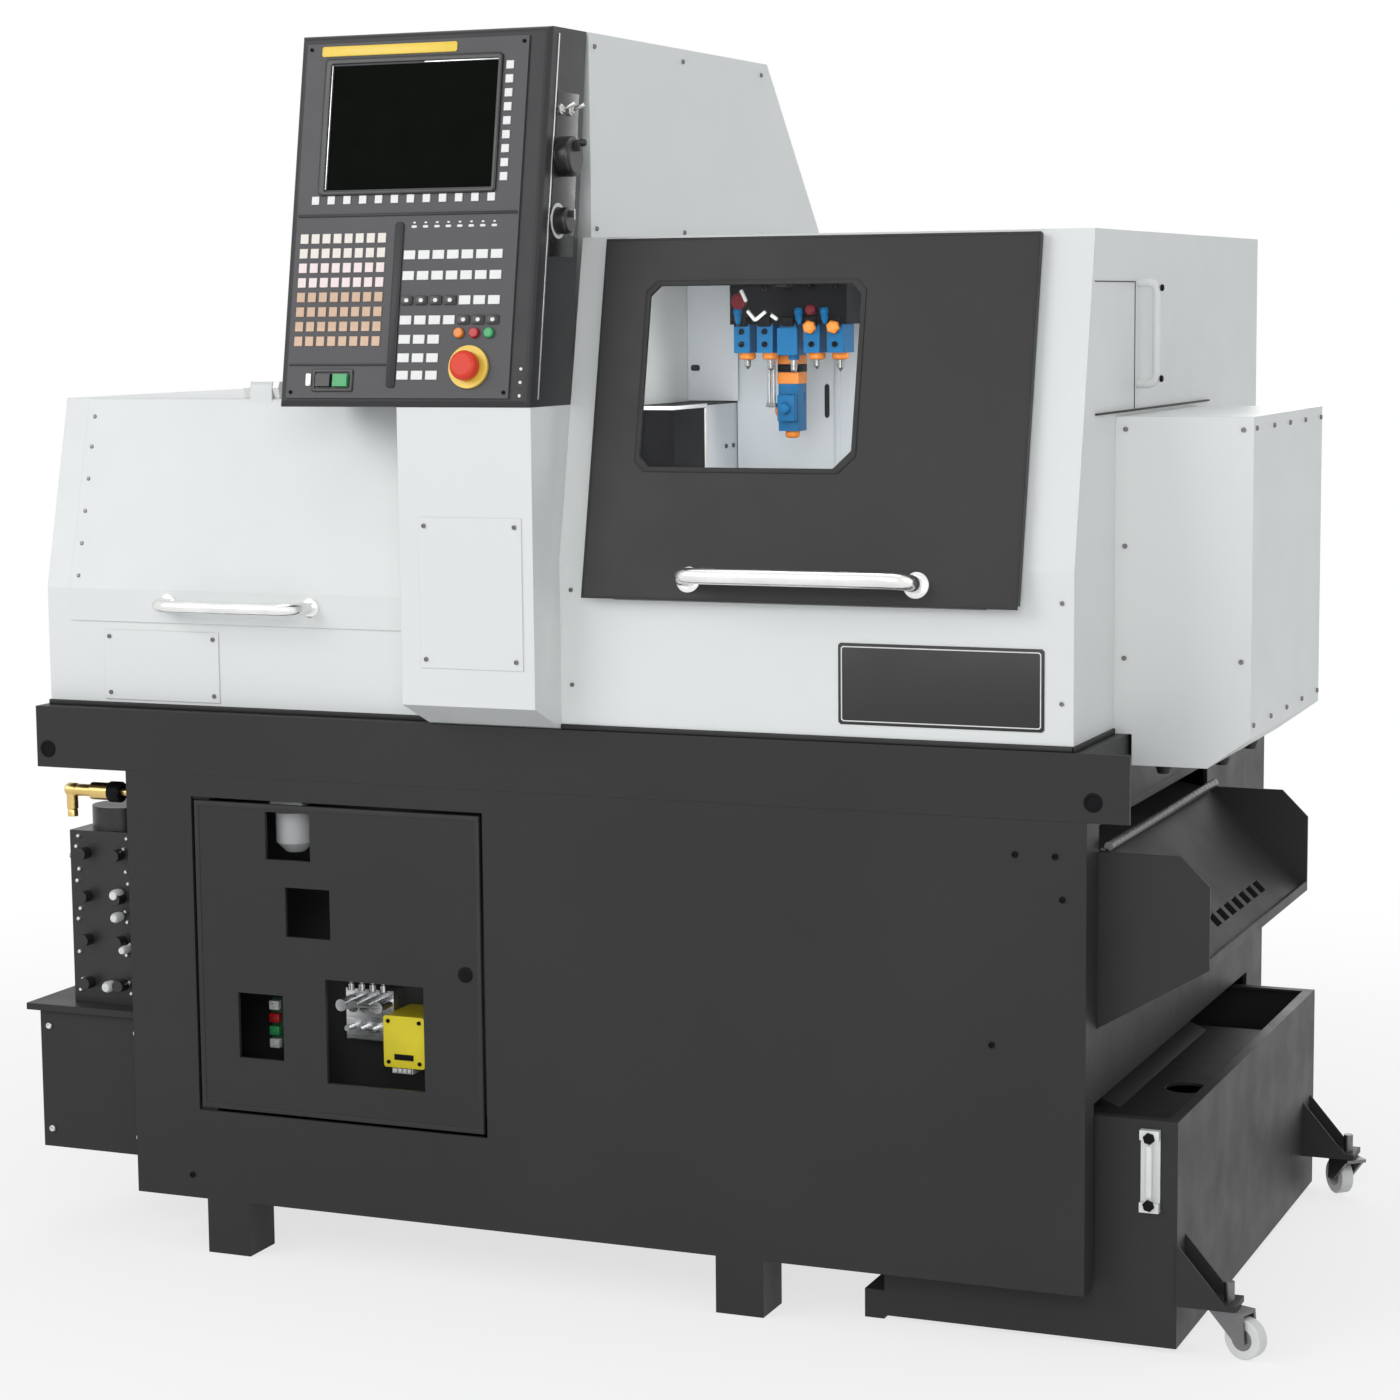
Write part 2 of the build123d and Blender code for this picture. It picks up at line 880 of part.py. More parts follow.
# Chip chute: chip slide below the deck, sloping tray with a raised lip and slots, two end plates
with BuildPart() as chip_chute:
    tray_rear_plane = Plane.XZ.offset(-chute_rear)
    lip_inner = chute_lip_x - chute_sheet
    prism(
        tray_rear_plane,
        (
            (base_right, chute_top_height),
            (lip_inner, chute_lip_height + chute_sheet),
            (lip_inner, chute_lip_height + chute_lip_up),
            (chute_lip_x, chute_lip_height + chute_lip_up),
            (chute_lip_x, chute_lip_height),
            (base_right, chute_top_height - 2 * chute_sheet),
        ),
        chute_depth,
    )
    prism(
        Plane.XZ.offset(-(chute_rear - 2 * plate)),
        (
            (base_right, chute_top_height),
            (liner_left, deck_underside - slide_headroom),
            (liner_left, deck_underside - slide_headroom - 2 * chute_sheet),
            (base_right, chute_top_height - 2 * chute_sheet),
        ),
        chute_depth - 4 * plate,
    )
    for end_y in (chute_front + chute_sheet, chute_rear):
        prism(
            Plane.XZ.offset(-end_y),
            (
                (base_right, chute_top_height),
                (chute_lip_x - chute_corner, chute_top_height),
                (chute_lip_x, chute_top_height - chute_corner),
                (chute_lip_x, chute_lip_height),
                (base_right, chute_skirt_height),
            ),
            chute_sheet,
        )
    slot_x = chute_lip_x - chute_slot_inset - chute_slot_width
    for index in range(chute_slot_count):
        slot_y = (chute_front + chute_rear) / 2 + chute_slot_pitch * (index - (chute_slot_count - 1) / 2)
        slab(
            slot_x - chute_slot_width / 2,
            slot_x + chute_slot_width / 2,
            slot_y - chute_slot_length / 2,
            slot_y + chute_slot_length / 2,
            chute_lip_height - chute_corner,
            chute_top_height,
            mode=Mode.SUBTRACT,
        )
finish(chip_chute, "chip_chute")

# Hood: folded shell, open below, with a door opening and a port for the spindle
with BuildPart() as hood:
    prism(
        Plane.YZ.offset(hood_left),
        (
            (hood_front, deck_top),
            (hood_front, hood_crease),
            (hood_top_front, hood_top),
            (base_rear, hood_top),
            (base_rear, deck_top),
        ),
        hood_length,
    )
    offset(amount=-sheet, openings=hood.faces().sort_by(Axis.Z)[0])
    slab(
        door_left + door_jamb,
        door_right - door_jamb,
        hood_front - overrun,
        hood_top_front + overrun,
        hood_crease - door_sill,
        hood_top - door_head,
        mode=Mode.SUBTRACT,
    )
    slab(
        hood_left - overrun,
        hood_left + sheet + overrun,
        axis_y - port_half,
        axis_y + port_half,
        axis_z - port_half,
        axis_z + port_half,
        mode=Mode.SUBTRACT,
    )
    slab(
        hood_left - overrun,
        hood_left + sheet + overrun,
        bed_back - seam_gap,
        bed_back + bed_back_depth + seam_gap,
        deck_top - overrun,
        bed_back_top + seam_gap,
        mode=Mode.SUBTRACT,
    )
finish(hood, "hood")

# Headstock cover: folded shell, open below and towards the hood, with a door opening
with BuildPart() as headstock_cover:
    prism(
        Plane.YZ.offset(cover_left),
        (
            (cover_front, deck_top),
            (cover_front, cover_crease),
            (cover_top_front, cover_top),
            (base_rear, cover_top),
            (base_rear, deck_top),
        ),
        hood_left - cover_left,
    )
    open_faces = [
        headstock_cover.faces().sort_by(Axis.Z)[0],
        headstock_cover.faces().sort_by(Axis.X)[-1],
    ]
    offset(amount=-sheet, openings=open_faces)
    slab(
        flip_left + flip_lap,
        flip_right - flip_lap,
        cover_front - overrun,
        cover_top_front + overrun,
        flip_bottom + flip_lap,
        cover_top - flip_lap,
        mode=Mode.SUBTRACT,
    )
finish(headstock_cover, "headstock_cover")

# Flip-up door: folded sheet over the headstock opening, with hinge barrels on its top edge
hinge_xs = [share(flip_left, flip_right, part) for part in hinge_inset_shares]
flip_outer = sliding_gap + flip_sheet
with BuildPart() as headstock_door:
    crease_turn = tan(cover_angle / 2)
    prism(
        Plane.YZ.offset(flip_left),
        (
            (cover_front - flip_outer, flip_bottom),
            (cover_front - flip_outer, cover_crease + flip_outer * crease_turn),
            cover_point(flip_outer, flip_top_margin),
            cover_point(sliding_gap, flip_top_margin),
            (cover_front - sliding_gap, cover_crease + sliding_gap * crease_turn),
            (cover_front - sliding_gap, flip_bottom),
        ),
        flip_right - flip_left,
    )
    for hinge_x in hinge_xs:
        barrel_left = hinge_x - hinge_barrel_length / 2
        prism(
            Plane.YZ.offset(barrel_left),
            (
                cover_point(flip_outer, hinge_barrel_radius),
                cover_point(sliding_gap, hinge_barrel_radius),
                cover_point(sliding_gap, flip_top_margin),
                (hinge_y - hinge_pin_radius / 2, hinge_z - hinge_barrel_radius),
                (hinge_y, hinge_z),
                (hinge_y - hinge_barrel_radius, hinge_z),
            ),
            hinge_barrel_length,
        )
        rod(
            (barrel_left, hinge_y, hinge_z),
            (barrel_left + hinge_barrel_length, hinge_y, hinge_z),
            hinge_barrel_radius,
        )
    for hinge_x in hinge_xs:
        rod(
            (hinge_x - hinge_barrel_length, hinge_y, hinge_z),
            (hinge_x + hinge_barrel_length, hinge_y, hinge_z),
            hinge_pin_radius + running_gap,
            mode=Mode.SUBTRACT,
        )
finish(headstock_door, "headstock_door")

# Hinge brackets: leaf and two ears on the roof, holding a pin
with BuildPart() as hinge_brackets:
    for hinge_x in hinge_xs:
        ear_inner = hinge_barrel_length / 2 + sliding_gap
        for ear_left in (hinge_x - ear_inner - hinge_ear, hinge_x + ear_inner):
            prism(
                Plane.YZ.offset(ear_left),
                (
                    (hinge_y - hinge_pin_radius, cover_top),
                    (hinge_y - hinge_barrel_radius, hinge_z),
                    (hinge_y - hinge_barrel_radius / 2, hinge_z + hinge_barrel_radius),
                    (hinge_y + hinge_barrel_radius / 2, hinge_z + hinge_barrel_radius),
                    (hinge_y + hinge_leaf, cover_top + sheet),
                    (hinge_y + hinge_leaf, cover_top),
                ),
                hinge_ear,
            )
        rod(
            (hinge_x - ear_inner - hinge_ear / 2, hinge_y, hinge_z),
            (hinge_x + ear_inner + hinge_ear / 2, hinge_y, hinge_z),
            hinge_pin_radius,
        )
        slab(
            hinge_x - ear_inner - hinge_ear,
            hinge_x + ear_inner + hinge_ear,
            hinge_y + hinge_barrel_radius + sheet,
            hinge_y + hinge_leaf,
            cover_top,
            cover_top + sheet,
        )
finish(hinge_brackets, "hinge_brackets")

# Tubular handle of the flip-up door
with BuildPart() as headstock_door_handle:
    grip_middle = share(flip_left, flip_right, flip_handle_middle_share)
    grip_left = grip_middle - flip_handle_span / 2
    grip_right = grip_middle + flip_handle_span / 2
    grip_z = cover_crease - flip_handle_drop
    grip_near = cover_front - flip_outer
    grip_far = grip_near - flip_handle_reach
    bow(
        (
            (grip_left, grip_near, grip_z),
            (grip_left, grip_far, grip_z),
            (grip_right, grip_far, grip_z),
            (grip_right, grip_near, grip_z),
        ),
        flip_handle_bend,
        flip_handle_radius,
    )
finish(headstock_door_handle, "headstock_door_handle")

# Bay below the operator panel: folded box with a sloping underside, open behind
bay_back_top = cover_front + (bay_top - cover_crease) * tan(cover_angle)
with BuildPart() as pendant_bay:
    prism(
        Plane.YZ.offset(bay_left),
        (
            (hood_front, deck_top),
            (bay_front, deck_top + bay_lip),
            (bay_front, bay_top),
            (bay_back_top, bay_top),
            (cover_front, cover_crease),
            (cover_front, deck_top),
        ),
        bay_width,
    )
    back_faces = pendant_bay.faces().filter_by(lambda face: face.normal_at().Y > cos(pendant_angle) / 2)
    offset(amount=-sheet, openings=back_faces)
finish(pendant_bay, "pendant_bay")

# Screwed inspection plates on the bay and on the cover's lower front
with BuildPart() as inspection_plates:
    slab(
        bay_left + bay_plate_left_margin,
        hood_left - bay_plate_right_margin,
        bay_front - plate_sheet,
        bay_front,
        share(deck_top, bay_top, bay_plate_low_share),
        share(deck_top, bay_top, bay_plate_high_share),
    )
    slab(
        cover_left + cover_plate_inset,
        cover_left + cover_plate_inset + cover_plate_width,
        cover_front - plate_sheet,
        cover_front,
        deck_top + cover_plate_margin,
        flip_bottom - cover_plate_margin,
    )
finish(inspection_plates, "inspection_plates")

# Cabinet tower on the roof of the headstock cover, with a sloping rear shoulder
with BuildPart() as cabinet_tower:
    prism(
        Plane.YZ.offset(tower_left),
        (
            (tower_front, cover_top),
            (tower_front, pendant_top),
            (tower_front + tower_top_depth, pendant_top),
            (tower_rear, pendant_top - tower_shoulder),
            (tower_rear, cover_top),
        ),
        tower_width,
    )
    offset(amount=-sheet, openings=cabinet_tower.faces().sort_by(Axis.Z)[0])
finish(cabinet_tower, "cabinet_tower")

# Side box on the right end: folded box with a cut lower corner, open towards the hood
with BuildPart() as side_box:
    tongue_left = base_right + side_box_gap
    tongue_low = deck_top - side_box_tongue
    with BuildSketch(Plane.XZ.offset(-side_box_rear)) as box_outline:
        with BuildLine():
            Polyline(
                (hood_right, deck_top),
                (hood_right, side_box_top),
                (side_box_right, side_box_top),
                (side_box_right, deck_top),
                (side_box_right - side_box_corner, tongue_low),
                (tongue_left, tongue_low),
                (tongue_left, deck_top),
                close=True,
            )
        make_face()
    extrude(amount=side_box_depth)
    with BuildSketch(Plane.XZ.offset(-side_box_rear + sheet)):
        add(box_outline.sketch_local)
        offset(amount=-sheet, kind=Kind.INTERSECTION, mode=Mode.REPLACE)
    extrude(amount=side_box_depth - 2 * sheet, mode=Mode.SUBTRACT)
    slab(
        hood_right - overrun,
        hood_right + sheet + overrun,
        side_box_front + sheet,
        side_box_rear - sheet,
        deck_top + sheet,
        side_box_top - sheet,
        mode=Mode.SUBTRACT,
    )
finish(side_box, "side_box")

# Grab handle on the right wall of the hood
with BuildPart() as side_handle:
    grab_y = base_front + side_handle_setback
    side_handle_low = deck_top + side_handle_rise
    grab_high = side_handle_low + side_handle_span
    grab_x = hood_right + side_handle_reach
    bow(
        (
            (hood_right, grab_y, side_handle_low),
            (grab_x, grab_y, side_handle_low),
            (grab_x, grab_y, grab_high),
            (hood_right, grab_y, grab_high),
        ),
        side_handle_bend,
        side_handle_radius,
    )
finish(side_handle, "side_handle")

# Front door in the plane of the hood's sloping front: a pan with a window
hood_slope = Plane(
    origin=(0, hood_front, hood_crease),
    x_dir=(1, 0, 0),
    z_dir=(0, -cos(hood_angle), sin(hood_angle)),
)
door_face = hood_slope.offset(door_gap)
window_left = door_left + window_inset
window_right = window_left + window_width
window_low = window_climb
window_high = window_climb + window_height


def window_outline(margin):
    """Window opening with one large and three small corners, grown by a margin."""
    left = window_left - margin
    right = window_right + margin
    low = window_low - margin
    high = window_high + margin
    small = window_small_corner
    large = window_large_corner
    return (
        (left + small, low),
        (right - large, low),
        (right, low + large),
        (right, high - small),
        (right - small, high),
        (left + small, high),
        (left, high - small),
        (left, low + small),
    )


def door_rectangle(left, right, low, high):
    """Rectangle in the door's own plane."""
    return ((left, low), (right, low), (right, high), (left, high))


with BuildPart() as front_door:
    prism(
        door_face.offset(-door_flange),
        door_rectangle(door_left, door_right, -door_drop, door_climb),
        door_flange + door_sheet,
    )
    prism(
        door_face.offset(-door_flange),
        door_rectangle(door_left + sheet, door_right - sheet, sheet - door_drop, door_climb - sheet),
        door_flange,
        mode=Mode.SUBTRACT,
    )
    # The lower fold stops short of the rails, which it passes when the door is up
    for notch_left in (door_left - overrun, door_right - door_jamb):
        prism(
            door_face.offset(-door_flange),
            door_rectangle(
                notch_left,
                notch_left + door_jamb + overrun,
                -door_drop - overrun,
                2 * sheet - door_drop,
            ),
            door_flange,
            mode=Mode.SUBTRACT,
        )
    prism(
        door_face.offset(-door_flange),
        window_outline(0),
        2 * door_flange,
        mode=Mode.SUBTRACT,
    )
finish(front_door, "front_door")

# Window pane, held against the inside of the door
with BuildPart() as door_window:
    prism(door_face.offset(-pane_thickness), window_outline(pane_margin), pane_thickness)
finish(door_window, "door_window")

# Handle bar of the front door
with BuildPart() as door_handle:
    bar_left = door_left + door_handle_inset
    bar_right = bar_left + door_handle_span
    bow(
        (
            on_plane(door_face, bar_left, door_handle_climb, door_sheet),
            on_plane(door_face, bar_left, door_handle_climb, door_sheet + door_handle_reach),
            on_plane(door_face, bar_right, door_handle_climb, door_sheet + door_handle_reach),
            on_plane(door_face, bar_right, door_handle_climb, door_sheet),
        ),
        door_handle_bend,
        door_handle_radius,
    )
finish(door_handle, "door_handle")

# Rails of the front door, on the hood's sloping jambs
with BuildPart() as door_rails:
    for rail_left in (door_left + rail_inset, door_right - rail_inset - rail_width):
        prism(
            hood_slope,
            door_rectangle(
                rail_left,
                rail_left + rail_width,
                rail_margin,
                door_climb - rail_margin - door_flange,
            ),
            door_gap - sliding_gap,
        )
finish(door_rails, "door_rails")

# Operator panel housing, leaning back on the bay, with bores for its controls
panel_face = Plane(
    origin=(pendant_left, pendant_front, bay_top),
    x_dir=(1, 0, 0),
    z_dir=(0, -cos(pendant_angle), sin(pendant_angle)),
)
push_us = [pendant_width * part for part in push_u_shares]
push_v = pendant_slope * push_v_share
power_off_u = pendant_width * power_u_share
power_us = [power_off_u, power_off_u + power_width + power_key_gap]
power_v = pendant_slope * power_v_share
estop_u = pendant_width * estop_u_share
estop_v = pendant_slope * estop_v_share
push_bore_depth = push_stem + push_travel + sliding_gap
estop_bore_depth = push_stem + estop_travel + sliding_gap


def knob_middle(climb_share):
    """Middle of a knob on the right side of the operator panel, as y and z."""
    z = share(bay_top, pendant_top, climb_share)
    front = share(pendant_front, pendant_front + pendant_lean_depth, climb_share)
    rear_low = pendant_front + pendant_depth
    rear = share(rear_low, rear_low + pendant_rear_lean_depth, climb_share)
    return (share(front, rear, knob_depth_share), z)


def control_bores():
    """Bores of the round buttons, the power keys and the stop button."""
    face = panel_plate
    for u in push_us:
        rod(
            on_plane(panel_face, u, push_v, face + overrun),
            on_plane(panel_face, u, push_v, face - push_bore_depth),
            push_radius + push_side_gap,
            mode=Mode.SUBTRACT,
        )
    rod(
        on_plane(panel_face, estop_u, estop_v, face + overrun),
        on_plane(panel_face, estop_u, estop_v, face - estop_bore_depth),
        estop_stem_radius + push_side_gap,
        mode=Mode.SUBTRACT,
    )
    for u in power_us:
        prism(
            panel_face.offset(face - push_bore_depth),
            door_rectangle(
                u - power_width / 2 - push_side_gap,
                u + power_width / 2 + push_side_gap,
                power_v - power_height / 2 - push_side_gap,
                power_v + power_height / 2 + push_side_gap,
            ),
            push_bore_depth + overrun,
            mode=Mode.SUBTRACT,
        )


with BuildPart() as pendant_housing:
    prism(
        Plane.YZ.offset(pendant_left),
        (
            (pendant_front, bay_top),
            (pendant_front + pendant_depth, bay_top),
            (pendant_front + pendant_depth + pendant_rear_lean_depth, pendant_top),
            (pendant_front + pendant_lean_depth, pendant_top),
        ),
        pendant_width,
    )
    front_edges = pendant_housing.faces().sort_by(Axis.Y)[0].edges()
    fillet(front_edges, radius=pendant_fillet)
    control_bores()
    for climb_share in (wheel_knob_climb_share, selector_climb_share):
        knob_y, knob_z = knob_middle(climb_share)
        rod(
            (hood_left + overrun, knob_y, knob_z),
            (hood_left - knob_shaft_length - sliding_gap, knob_y, knob_z),
            knob_shaft_radius + running_gap,
            mode=Mode.SUBTRACT,
        )
finish(pendant_housing, "pendant_housing")

# Fascia plate with a window for the screen
screen_us = [pendant_width * part for part in screen_u_shares]
screen_vs = [pendant_slope * part for part in screen_v_shares]
with BuildPart() as pendant_panel:
    prism(
        panel_face,
        door_rectangle(
            panel_margin,
            pendant_width - panel_bezel_width,
            panel_margin,
            pendant_slope - panel_margin,
        ),
        panel_plate,
    )
    prism(
        panel_face,
        door_rectangle(screen_us[0], screen_us[1], screen_vs[0], screen_vs[1]),
        panel_plate,
        mode=Mode.SUBTRACT,
    )
    control_bores()
finish(pendant_panel, "pendant_panel")

# Display screen, set into the fascia
with BuildPart() as display_screen:
    prism(
        panel_face,
        door_rectangle(
            screen_us[0] + sliding_gap,
            screen_us[1] - sliding_gap,
            screen_vs[0] + sliding_gap,
            screen_vs[1] - sliding_gap,
        ),
        screen_plate,
    )
finish(display_screen, "display_screen")


def key(u, v, width, height):
    """One flat key on the fascia."""
    prism(
        panel_face.offset(panel_plate),
        door_rectangle(u - width / 2, u + width / 2, v - height / 2, v + height / 2),
        key_rise,
    )


# White keys: soft keys beside and below the screen, and the function rows
with BuildPart() as white_keys:
    for index in range(soft_column_count):
        part = index / (soft_column_count - 1)
        v_share = share(soft_column_v_shares[0], soft_column_v_shares[1], part)
        key(pendant_width * soft_column_u_share, pendant_slope * v_share, soft_key_width, soft_key_width)
    for index in range(soft_row_count):
        part = index / (soft_row_count - 1)
        u_share = share(soft_row_u_shares[0], soft_row_u_shares[1], part)
        key(pendant_width * u_share, pendant_slope * soft_row_v_share, soft_key_width, soft_key_width)
    for v_share, count in zip(function_row_v_shares, function_row_counts):
        for index in range(count):
            u_share = function_left_share + function_pitch_share * index
            key(pendant_width * u_share, pendant_slope * v_share, function_key_width, function_key_height)
finish(white_keys, "white_keys")

# Letter keys: the tinted block left of the function rows
with BuildPart() as letter_keys:
    for row in range(letter_rows):
        for column in range(letter_columns):
            u_share = share(letter_u_shares[0], letter_u_shares[1], column / (letter_columns - 1))
            v_share = share(letter_v_shares[0], letter_v_shares[1], row / (letter_rows - 1))
            key(pendant_width * u_share, pendant_slope * v_share, letter_key_width, letter_key_height)
finish(letter_keys, "letter_keys")

# Collar round the stop button
with BuildPart() as estop_ring:
    rod(
        on_plane(panel_face, estop_u, estop_v, panel_plate),
        on_plane(panel_face, estop_u, estop_v, panel_plate + estop_ring_rise),
        estop_ring_radius,
    )
    rod(
        on_plane(panel_face, estop_u, estop_v, 0),
        on_plane(panel_face, estop_u, estop_v, panel_plate + estop_ring_rise + overrun),
        estop_stem_radius + push_side_gap,
        mode=Mode.SUBTRACT,
    )
finish(estop_ring, "estop_ring")

# Stop button: mushroom head on a stem
with BuildPart() as estop_button:
    head_low = panel_plate + estop_ring_rise + estop_travel + sliding_gap
    rod(
        on_plane(panel_face, estop_u, estop_v, panel_plate - push_stem),
        on_plane(panel_face, estop_u, estop_v, head_low),
        estop_stem_radius,
    )
    rod(
        on_plane(panel_face, estop_u, estop_v, head_low),
        on_plane(panel_face, estop_u, estop_v, head_low + estop_height),
        estop_radius,
    )
    crown = estop_button.faces().sort_by(Axis(on_plane(panel_face, 0, 0), panel_face.z_dir))[-1]
    fillet(crown.edges(), radius=estop_height / 2)
finish(estop_button, "estop_button")

# Three round buttons with rounded crowns
for button_u, button_name in zip(push_us, ("reset_button", "hold_button", "cycle_button")):
    with BuildPart() as round_button:
        rod(
            on_plane(panel_face, button_u, push_v, panel_plate - push_stem),
            on_plane(panel_face, button_u, push_v, panel_plate + push_rise),
            push_radius,
        )
        crown = round_button.faces().sort_by(Axis(on_plane(panel_face, 0, 0), panel_face.z_dir))[-1]
        chamfer(crown.edges(), length=push_travel / 2)
    finish(round_button, button_name)

# Two flat power keys side by side
for button_u, button_name in zip(power_us, ("power_off_button", "power_on_button")):
    with BuildPart() as power_button:
        prism(
            panel_face.offset(panel_plate - push_stem),
            door_rectangle(
                button_u - power_width / 2,
                button_u + power_width / 2,
                power_v - power_height / 2,
                power_v + power_height / 2,
            ),
            push_stem + push_rise,
        )
    finish(power_button, button_name)

# Handwheel and selector knob on the right side of the operator panel
for knob_name, climb_share, knob_radius, knob_length in (
    ("handwheel", wheel_knob_climb_share, wheel_knob_radius, wheel_knob_length),
    ("selector_knob", selector_climb_share, selector_radius, selector_length),
):
    with BuildPart() as side_knob:
        knob_y, knob_z = knob_middle(climb_share)
        knob_near = hood_left + knob_stand
        rod((hood_left - knob_shaft_length, knob_y, knob_z), (knob_near, knob_y, knob_z), knob_shaft_radius)
        rod((knob_near, knob_y, knob_z), (knob_near + knob_length, knob_y, knob_z), knob_radius)
        rim = side_knob.faces().sort_by(Axis.X)[-1]
        fillet(rim.edges(), radius=knob_length / 4)
        pointer_x = knob_near + knob_length
        slab(
            knob_near + knob_length / 2,
            pointer_x + knob_length / 3,
            knob_y - knob_radius / 6,
            knob_y + knob_radius / 6,
            knob_z + knob_radius / 4,
            knob_z + knob_radius * 3 / 4,
        )
    finish(side_knob, knob_name)

# Bed: ledge below the headstock, rear way behind the chamber and the tool column
with BuildPart() as bed:
    slab(bed_left, ledge_right, ledge_front, bed_back, deck_top, ledge_top)
    slab(bed_left, bed_right, bed_back, bed_back + bed_back_depth, deck_top, bed_back_top)
    slab(column_left, column_right, column_front, column_front + column_depth, deck_top, column_top)
finish(bed, "bed")

# Linear rails of the headstock, the sub-spindle and the tool slide
headstock_rail_ys = (axis_y - headstock_rail_spread / 2, axis_y + headstock_rail_spread / 2)
sub_rail_ys = (bed_back + sub_rail_first, bed_back + sub_rail_first + sub_rail_spread)
column_middle = (column_left + column_right) / 2
column_rail_xs = (column_middle - column_rail_spread / 2, column_middle + column_rail_spread / 2)
rail_half = rail_bar_width / 2
with BuildPart() as linear_rails:
    for rail_y in headstock_rail_ys:
        slab(
            bed_left + bed_inset,
            ledge_right,
            rail_y - rail_half,
            rail_y + rail_half,
            ledge_top,
            ledge_top + rail_bar_height,
        )
    for rail_y in sub_rail_ys:
        slab(
            column_right + bed_inset / 4,
            bed_right,
            rail_y - rail_half,
            rail_y + rail_half,
            bed_back_top,
            bed_back_top + rail_bar_height,
        )
    for rail_x in column_rail_xs:
        slab(
            rail_x - rail_half / 2,
            rail_x + rail_half / 2,
            column_front - rail_straddle,
            column_front,
            slide_low - slide_drop_room,
            column_top,
        )
finish(linear_rails, "linear_rails")


def rail_groove(x0, x1, rail_y, rail_low):
    """Groove that straddles one bed rail with a sliding clearance."""
    slab(
        x0 - overrun,
        x1 + overrun,
        rail_y - rail_half - sliding_gap,
        rail_y + rail_half + sliding_gap,
        rail_low - overrun,
        rail_low + rail_bar_height + sliding_gap,
        mode=Mode.SUBTRACT,
    )


# Headstock on its rails, with the bore for the spindle
headstock_low = ledge_top + rail_bar_height - rail_straddle
headstock_high = axis_z + headstock_head
with BuildPart() as headstock:
    slab(
        headstock_left,
        headstock_right,
        axis_y - headstock_width / 2,
        axis_y + headstock_width / 2,
        headstock_low,
        headstock_high,
    )
    top_edges = headstock.faces().sort_by(Axis.Z)[-1].edges().filter_by(Axis.X)
    fillet(top_edges, radius=headstock_fillet)
    for rail_y in headstock_rail_ys:
        rail_groove(headstock_left, headstock_right, rail_y, ledge_top)
    rod(
        (headstock_left - overrun, axis_y, axis_z),
        (headstock_right + overrun, axis_y, axis_z),
        spindle_radius + running_gap,
        mode=Mode.SUBTRACT,
    )
finish(headstock, "headstock")


def turned_spindle(name, stations, bore, start_x, end_x):
    """Hollow spindle turned from a row of (x from, x to, radius) steps."""
    with BuildPart() as spindle:
        for x0, x1, radius in stations:
            rod((x0, axis_y, axis_z), (x1, axis_y, axis_z), radius)
        rod(
            (start_x - overrun, axis_y, axis_z),
            (end_x + overrun, axis_y, axis_z),
            bore,
            mode=Mode.SUBTRACT,
        )
    finish(spindle, name)


# Main spindle with its collet nose towards the guide bush
nose_left = headstock_right + nose_stand
turned_spindle(
    "main_spindle",
    (
        (headstock_left - spindle_tail, nose_left, spindle_radius),
        (nose_left, nose_left + nose_length, nose_radius),
    ),
    spindle_bore,
    headstock_left - spindle_tail,
    nose_left + nose_length,
)

# Guide bush column against the hood's left wall, and the turning bush in it
bush_left = hood_left + sheet
bush_right = bush_left + bush_column_width
with BuildPart() as guide_bush_column:
    bush_column_front = axis_y - bush_column_lead
    slab(
        bush_left,
        bush_right,
        bush_column_front,
        bush_column_front + bush_column_depth,
        deck_top,
        deck_top + bush_column_rise,
    )
    rod(
        (bush_left - overrun, axis_y, axis_z),
        (bush_right + overrun, axis_y, axis_z),
        bush_radius + running_gap,
        mode=Mode.SUBTRACT,
    )
finish(guide_bush_column, "guide_bush_column")

turned_spindle(
    "guide_bush",
    (
        (bush_left, bush_right + nose_stand, bush_radius),
        (bush_right + nose_stand, bush_right + nose_stand + bush_flange, bush_flange_radius),
    ),
    bush_bore,
    bush_left,
    bush_right + nose_stand + bush_flange,
)

# Sub-spindle head on an arm that reaches through the liner to its rails
sub_low = bed_back_top + rail_bar_height - rail_straddle
sub_front = axis_y - sub_width / 2
with BuildPart() as sub_headstock:
    slab(
        sub_left,
        sub_right,
        sub_front,
        axis_y + sub_width / 2,
        axis_z - sub_head,
        axis_z + sub_head,
    )
    fillet(sub_headstock.edges().filter_by(Axis.X), radius=headstock_fillet)
    slab(
        sub_left,
        sub_right,
        axis_y,
        sub_rail_ys[1] + rail_bar_width,
        sub_low,
        sub_low + sub_arm,
    )
    for rail_y in sub_rail_ys:
        rail_groove(sub_left, sub_right, rail_y, bed_back_top)
    rod(
        (sub_left - overrun, axis_y, axis_z),
        (sub_right + overrun, axis_y, axis_z),
        spindle_radius + running_gap,
        mode=Mode.SUBTRACT,
    )
finish(sub_headstock, "sub_headstock")

turned_spindle(
    "sub_spindle",
    (
        (sub_left - nose_stand, sub_right + spindle_tail, spindle_radius),
        (sub_left - nose_stand - nose_length, sub_left - nose_stand, nose_radius),
    ),
    spindle_bore,
    sub_left - nose_stand - nose_length,
    sub_right + spindle_tail,
)

